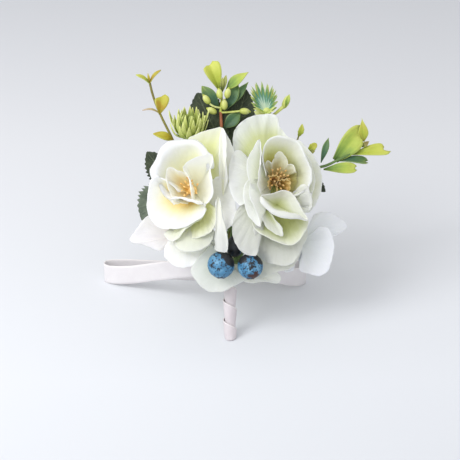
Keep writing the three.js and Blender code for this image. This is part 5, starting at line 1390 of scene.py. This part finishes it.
BLACK, BROWN, UNDERSIDE = "#10151c", "#3c1c16", "#241a18"
left_paint = speckled("berry_left", LEFT_BERRY, [
    ((0.8, -0.35, 0.75), 50, BLACK), ((-0.3, -0.4, 0.9), 14, BLACK), ((0.35, -0.9, 0.02), 12, BLACK),
    ((-0.6, -0.8, -0.1), 8, BLACK), ((0, 0, -1), 22, UNDERSIDE)])
right_paint = speckled("berry_right", RIGHT_BERRY, [
    ((-0.6, -0.35, 0.8), 38, BLACK), ((0.75, -0.35, 0.7), 34, BLACK), ((0.1, -0.95, 0.12), 16, BLACK),
    ((0.3, -0.6, -0.8), 26, BROWN), ((0, 0, -1), 22, UNDERSIDE)])
# Painted shade: the third berry is near black, with teal flecks as painted highlights.
shaded_berry_paint = mottled("berry_painted_shade", 0.5, 0.0022, (0.45, "#0e1218"), (0.6, "#182530"), (0.68, "#2f6a7c"),
                     detail=4)
shaded_berry_paint.bump(shaded_berry_paint.grain(0.0008, 4), 0.0004, 0.6)
print("berry paints:", left_paint.material.name, right_paint.material.name)

# %% [markdown]
# Each blue berry and its neck wire move together. The dark third berry stays on the pick and is drawn out
# to a slim top, so its ball is narrowed upwards. Its near black is painted shade, as it hangs behind the
# others, and its teal flecks are painted highlights.

# %% Berries and necks
NECK_RADIUS = 0.45


def berry(centre, radius, finish):
    """A foam ball with a pressed ring at the blossom end"""
    body = ball(centre, (radius, radius, radius), (0, 0, 1), finish, 36)
    for point in body.data.vertices:
        out = (point.co - centre) / radius
        off_axis = math.hypot(out.x, out.y)
        if out.z < 0 and off_axis < 0.4:
            point.co.z -= radius * (0.05 * math.exp(-((off_axis - 0.25) / 0.06) ** 2)
                                    - 0.1 * math.exp(-(off_axis / 0.12) ** 2))
        point.co += out * 0.09 * noise.noise(point.co * 1.1)
    return body


def neck(root, centre, radius):
    top = centre + Vector((0, 0, radius))
    middle = (root + 2 * top) / 3 + Vector((0, 0, (root.z - top.z) / 4))
    return tube([root, middle, top - Vector((0, 0, 0.3))], NECK_RADIUS, wire_green)


for side, centre, radius, paint, root in (("left", LEFT_BERRY, LEFT_RADIUS, left_paint, LEFT_ROOT),
                                          ("right", RIGHT_BERRY, RIGHT_RADIUS, right_paint, RIGHT_ROOT)):
    whole = joined(f"{side}_berry_foam", [berry(centre, radius, paint)])
    dress(whole, "berry_blue", f"{side}_berry", body=f"{side}_berry")
    thread = joined(f"{side}_berry_thread", [neck(root, centre, radius)])
    dress(thread, "wire_green", f"{side}_berry_neck", body=f"{side}_berry")

DROP_HEIGHT = 5
drop = ball(DARK_BERRY, (4, 4, DROP_HEIGHT), (0, 0, 1), shaded_berry_paint, 24)
for point in drop.data.vertices:
    share = (point.co.z - DARK_BERRY.z) / DROP_HEIGHT
    slim = 1 - 0.3 * max(0, share) ** 1.5
    point.co.x = DARK_BERRY.x + (point.co.x - DARK_BERRY.x) * slim
    point.co.y = DARK_BERRY.y + (point.co.y - DARK_BERRY.y) * slim
drop_neck = tube([(2.2, -9.2, 46), (2.2, -9.3, 49.6)], NECK_RADIUS, wire_green)
drop = joined("dark_berry_foam", [drop, drop_neck])
dress(drop, "berry_dark", "dark_berry")
print("berries:", [o.name for o in scene.objects if "berry_foam" in o.name])

# %% [markdown]
